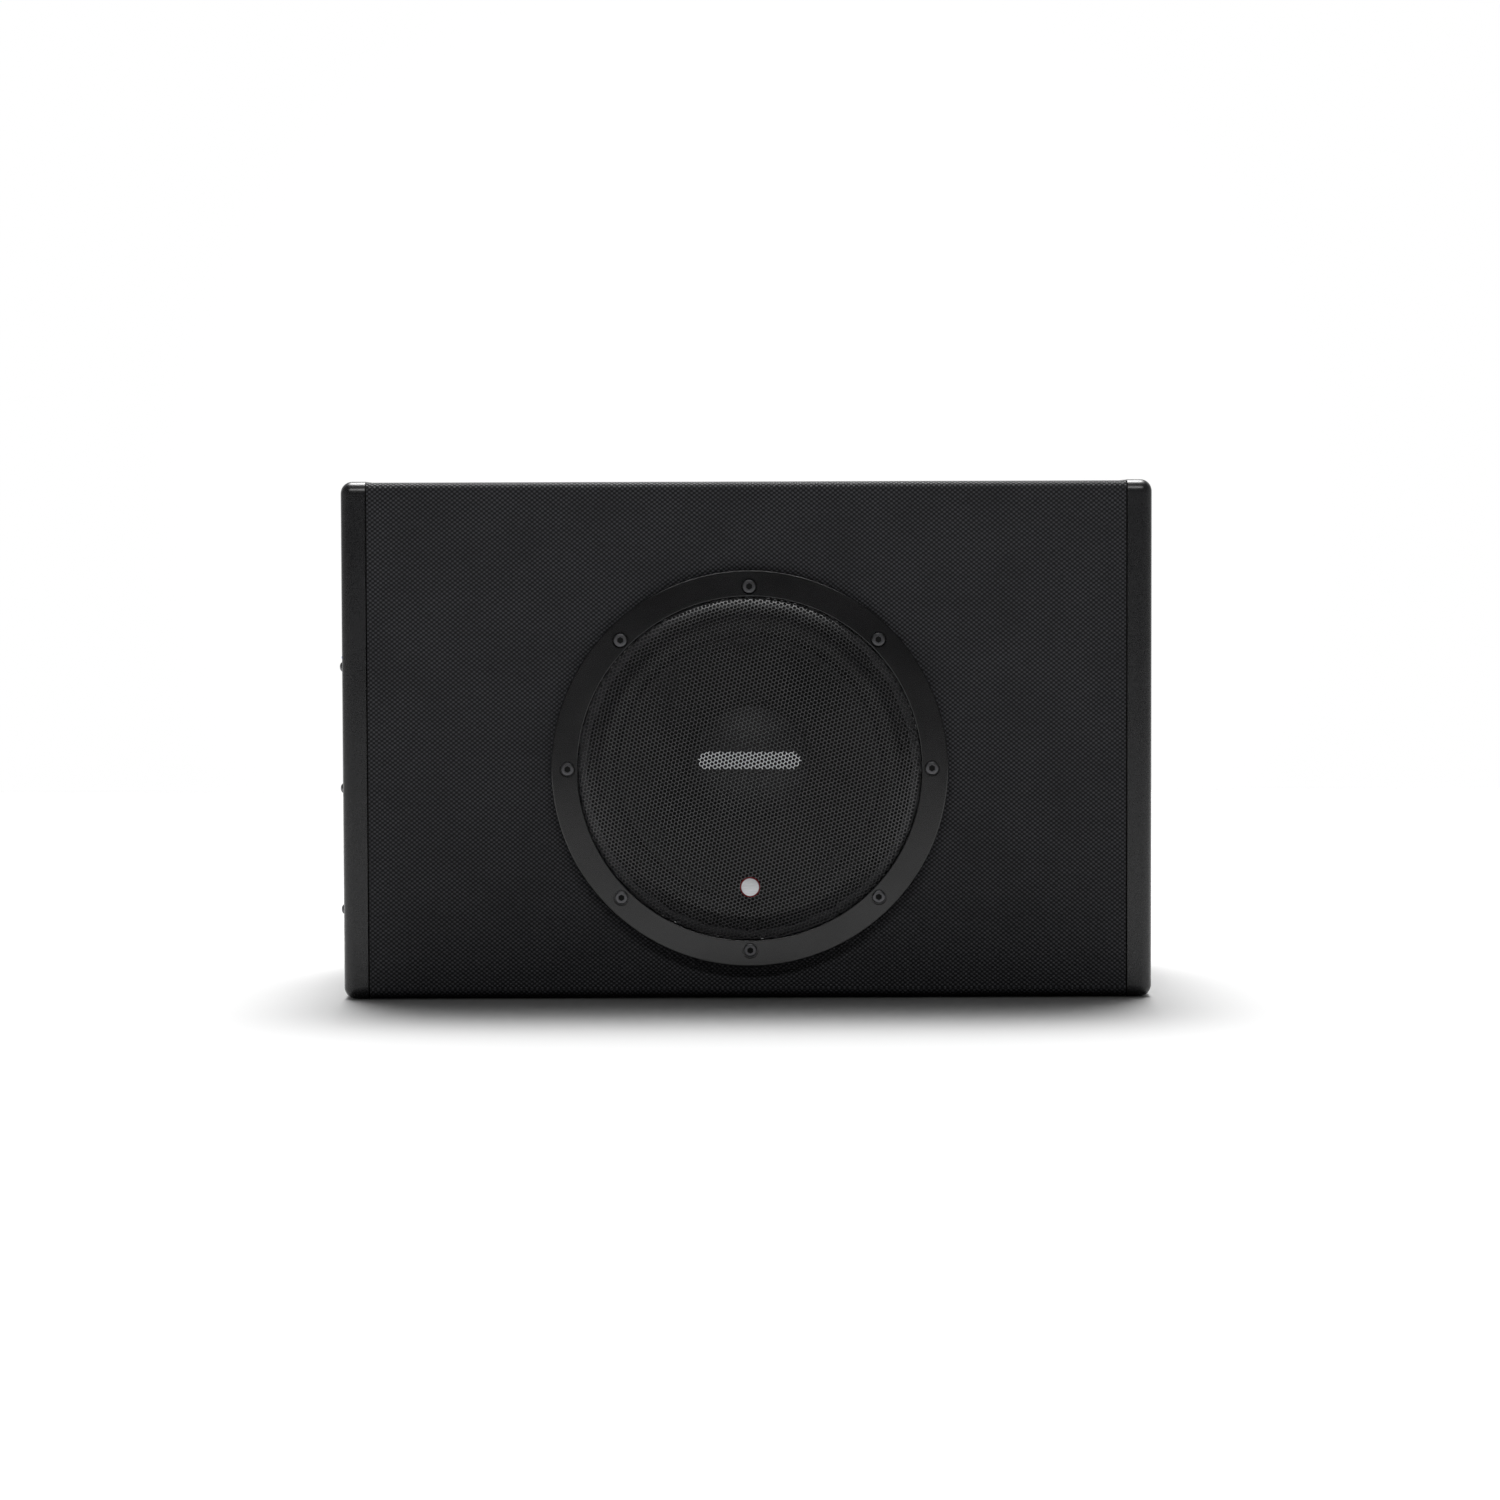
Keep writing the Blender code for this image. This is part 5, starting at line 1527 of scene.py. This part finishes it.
# %% The wound choke
choke_low, choke_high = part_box("toroid_inductor")
CHOKE = (choke_low + choke_high) / 2
CORE_MIDDLE = 0.0110
enamelled_copper = grained("enamelled_copper", (0.60, 0.32, 0.12), 0.35, 0.0010, 0.00006, metallic=0.8)
core_green = grained("core_paint", (0.02, 0.10, 0.09), 0.5, 0.0010, 0.00003)
WINDINGS = 30
in_hand()
bpy.ops.mesh.primitive_torus_add(
    major_segments=48,
    minor_segments=16,
    major_radius=CORE_MIDDLE,
    minor_radius=0.0036,
    location=CHOKE,
    rotation=(0, math.pi / 2, 0),
)
core = settled("wound_choke")
core.data.materials.append(core_green)
loops = [core]
for index in range(WINDINGS):
    angle = math.tau * index / WINDINGS
    outward = Vector((0, math.cos(angle), math.sin(angle)))
    in_hand()
    bpy.ops.mesh.primitive_torus_add(
        major_segments=14,
        minor_segments=6,
        major_radius=0.0040,
        minor_radius=0.00042,
        location=CHOKE + outward * CORE_MIDDLE,
        rotation=(angle + math.pi / 2, 0, 0),
    )
    loop = settled("loop")
    loop.data.materials.append(enamelled_copper)
    loops.append(loop)
choke = joined(loops, "wound_choke")
finish(choke, "enclosure", [core_green, enamelled_copper], ["toroid_inductor"], weighted=False)

# %% The capacitor
can_low, can_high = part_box("capacitor")
CAN = Vector((0, (can_low.y + can_high.y) / 2, (can_low.z + can_high.z) / 2))
shrink_sleeve = grained("shrink_sleeve", (0.02, 0.03, 0.09), 0.35, 0.0020, 0.00002)
bare_aluminium = grained(
    "bare_aluminium", (0.70, 0.71, 0.72), 0.35, 0.0010, 0.00002, metallic=1.0, change=0.1
)
foot, crown = can_low.x, can_high.x
can_outline = [(0.0, foot), (0.0078, foot), (0.0080, foot + 0.0004), (0.0080, foot + 0.0030)]
can_outline += arc((0.0080, foot + 0.0038), 0.0006, 0.0008, -90, -270, 6)
can_outline += [(0.0080, crown - 0.0010), (0.0076, crown - 0.0002), (0.0070, crown)]
can_outline += [(0.0066, crown - 0.0003), (0.0, crown - 0.0003)]
can = turned("sleeved_capacitor", can_outline, CAN, "X", 64)
vents = [
    box_between(
        "vent",
        (crown - 0.0008, CAN.y - 0.0050, CAN.z - 0.0003),
        (crown + 0.001, CAN.y + 0.0050, CAN.z + 0.0003),
    ),
]
cut_out(can, vents)
cross_low = (crown - 0.0008, CAN.y - 0.0003, CAN.z - 0.0050)
cross_high = (crown + 0.001, CAN.y + 0.0003, CAN.z + 0.0050)
cut_out(can, [box_between("vent", cross_low, cross_high)])
can.data.materials.append(shrink_sleeve)
can.data.materials.append(bare_aluminium)
for face in can.data.polygons:
    reach = (face.center - CAN).yz.length
    face.material_index = int(reach < 0.0066 and face.center.x > crown - 0.001)
finish(can, "enclosure", [shrink_sleeve, bare_aluminium], ["capacitor"])

# %% [markdown]
# ## Everything else keeps its CAD shape
# Pieces that are sealed inside the box keep the CAD's solids and take a finish for their slot.


# %% Fibreboard with its showing edges sealed black
def fibreboard():
    """Pressed brown fibre, painted black where a seam or the driver's ring would show it."""
    material = new_material("fibreboard", (0.45, 0.30, 0.17), 0.85)
    place = object_place(material)
    along_fibres = object_place(material, (1, 1, 4))
    fibre = node(material, "TexNoise", {"Vector": along_fibres, "Scale": 700.0, "Detail": 4.0})
    brown = tint(material, fibre.outputs[0], (0.26, 0.16, 0.085), (0.56, 0.40, 0.24))
    axes = node(material, "SeparateXYZ", {0: place}).outputs
    at_ends = between(material, maths(material, "ABSOLUTE", axes[0]), 0.2125, 0.2130, 0.0, 1.0)
    at_front = between(material, axes[1], -0.1035, -0.1030, 1.0, 0.0)
    sealed = maths(material, "MAXIMUM", at_ends, at_front)
    paint = node(material, "Mix", {0: sealed, 6: brown, 7: (0.006, 0.006, 0.006, 1.0)}, data_type="RGBA")
    feed(material, "Base Color", paint.outputs[2])
    feed(material, "Roughness", between(material, fibre.outputs[0], 0.3, 0.7, 0.9, 0.75))
    feed(material, "Normal", bump(material, fibre.outputs[0], 0.00012))
    return material


# %% Finishes for the CAD nodes that stay
SLOT_FINISH = {
    "mdf": fibreboard(),
    "basket_paint": grained("basket_paint", (0.020, 0.020, 0.022), 0.45, 0.0006, 0.00003),
    "rubber": rubber,
    "amp_paint": amp_paint,
    "board_green": grained("board_lacquer", (0.02, 0.16, 0.07), 0.45, 0.0030, 0.00002),
    "aluminium": bare_aluminium,
    "terminal_plastic": nylon,
    "cable": grained("cable_sleeve", (0.60, 0.10, 0.08), 0.55, 0.0010, 0.00002),
}
slot_of = {row["node"]: row["material_slot"] for row in frame["record"]["subparts"]}
kept = 0
for name, cad_node in frame["nodes"].items():
    if cad_node.hide_render:
        continue
    for place in cad_node.material_slots:
        place.material = SLOT_FINISH[slot_of[name]]
    kept += 1
print("CAD nodes that keep their shape:", kept)

# %% [markdown]
# ## The studio
# A pale floor, and a sky that is bright overhead and behind, and dim on the camera's side, as in
# a room with one large lamp above a white sweep. A black object is drawn almost only by what it
# mirrors: the bright sky gives the lit top edge, and the white floor lifts the lower front. One
# long lamp in front and above catches the grille's tilted shoulder. It skips the floor, so that
# the floor's shadow comes from the sky alone and stays soft.

# %% Floor, sky and lamp
FLOOR_SIDE = 3.6

in_hand()
bpy.ops.mesh.primitive_plane_add(size=FLOOR_SIDE)
floor = settled("studio_floor")
floor_paint = new_material("floor_paint", (0.86, 0.86, 0.86), 0.9)
floor.data.materials.append(floor_paint)

world = bpy.data.worlds.new("studio_sky")
bpy.context.scene.world = world
world.use_nodes = True
sky = world.node_tree
background = sky.nodes["Background"]
direction = sky.nodes.new("ShaderNodeTexCoord").outputs["Generated"]


def sky_maths(operation, first, second):
    made = sky.nodes.new("ShaderNodeMath")
    made.operation = operation
    for place, value in enumerate((first, second)):
        if isinstance(value, bpy.types.NodeSocket):
            sky.links.new(value, made.inputs[place])
        else:
            made.inputs[place].default_value = value
    return made.outputs[0]


LAMP_HEIGHT = math.radians(64.6)
SKY_LAMP = Vector((0, math.cos(LAMP_HEIGHT), math.sin(LAMP_HEIGHT)))
LAMP_TIGHT = 40.0
SKY_PEAK = 27.0
SKY_FILL = 0.02
SIDE_GLOW = 0.30
SIDE_TIGHT = 6.0
SWEEP_TIGHT = 2.0
toward = sky.nodes.new("ShaderNodeVectorMath")
toward.operation = "DOT_PRODUCT"
toward.inputs[1].default_value = SKY_LAMP
sky.links.new(direction, toward.inputs[0])
facing = sky_maths("MAXIMUM", toward.outputs["Value"], 0.0)
spread = sky_maths("POWER", facing, LAMP_TIGHT)
across = sky.nodes.new("ShaderNodeSeparateXYZ")
sky.links.new(direction, across.inputs[0])
sideways = sky_maths("POWER", sky_maths("ABSOLUTE", across.outputs[0], 0.0), SIDE_TIGHT)
sweep = sky_maths("POWER", sky_maths("MAXIMUM", across.outputs[1], 0.0), SWEEP_TIGHT)
around = sky_maths("ADD", sky_maths("MULTIPLY", sideways, SIDE_GLOW), sweep)
glow = sky_maths("ADD", around, SKY_FILL)
lit = sky_maths("ADD", sky_maths("MULTIPLY", spread, SKY_PEAK), glow)
seen = sky.nodes.new("ShaderNodeLightPath").outputs["Is Camera Ray"]
shown = sky_maths("MAXIMUM", lit, seen)
sky.links.new(shown, background.inputs["Strength"])
background.inputs["Color"].default_value = (1.0, 1.0, 1.0, 1.0)

# %% A key lamp for the object alone
lamps_leave_out = bpy.data.collections.new("lamps_leave_out")
lamps_leave_out.objects.link(floor)
lamps_leave_out.collection_objects[0].light_linking.link_state = "EXCLUDE"

KEY_PLACE = (0.0, -1.30, 1.60)
KEY_TARGET = (0.0, 0.0, 0.15)
key_data = bpy.data.lights.new("key_lamp", "AREA")
key_data.shape = "RECTANGLE"
key_data.size, key_data.size_y = 1.6, 0.12
key_data.energy = 13.0
key_lamp = bpy.data.objects.new("key_lamp", key_data)
bpy.context.scene.collection.objects.link(key_lamp)
key_lamp.location = KEY_PLACE
key_lamp.rotation_euler = (Vector(KEY_TARGET) - Vector(KEY_PLACE)).to_track_quat("-Z", "Y").to_euler()
key_lamp.visible_camera = False
key_lamp.light_linking.receiver_collection = lamps_leave_out
print("key lamp at", KEY_PLACE)

# %% The camera
FRONT_DISTANCE = 2.4
CAMERA_HEIGHT = 0.268
CAMERA_ROLL = math.radians(-0.19)
AIM = Vector((0.0, cad_low.y, 0.1475))
camera_data = bpy.data.cameras.new("studio_camera")
camera = bpy.data.objects.new("studio_camera", camera_data)
bpy.context.scene.collection.objects.link(camera)
camera.location = (0.0, cad_low.y - FRONT_DISTANCE, CAMERA_HEIGHT)
camera.rotation_mode = "QUATERNION"
gaze = (AIM - camera.location).to_track_quat("-Z", "Y")
camera.rotation_quaternion = gaze @ Quaternion((0, 0, 1), CAMERA_ROLL)
camera_data.lens = 101.8
camera_data.sensor_width = 36
camera_data.shift_x = 0.002
camera_data.shift_y = -0.006
bpy.context.scene.camera = camera
bpy.context.scene.view_settings.view_transform = "Standard"
print("camera at", [round(v, 3) for v in camera.location])

# %% How many pieces were made
print("pieces made:", len(pieces_made))
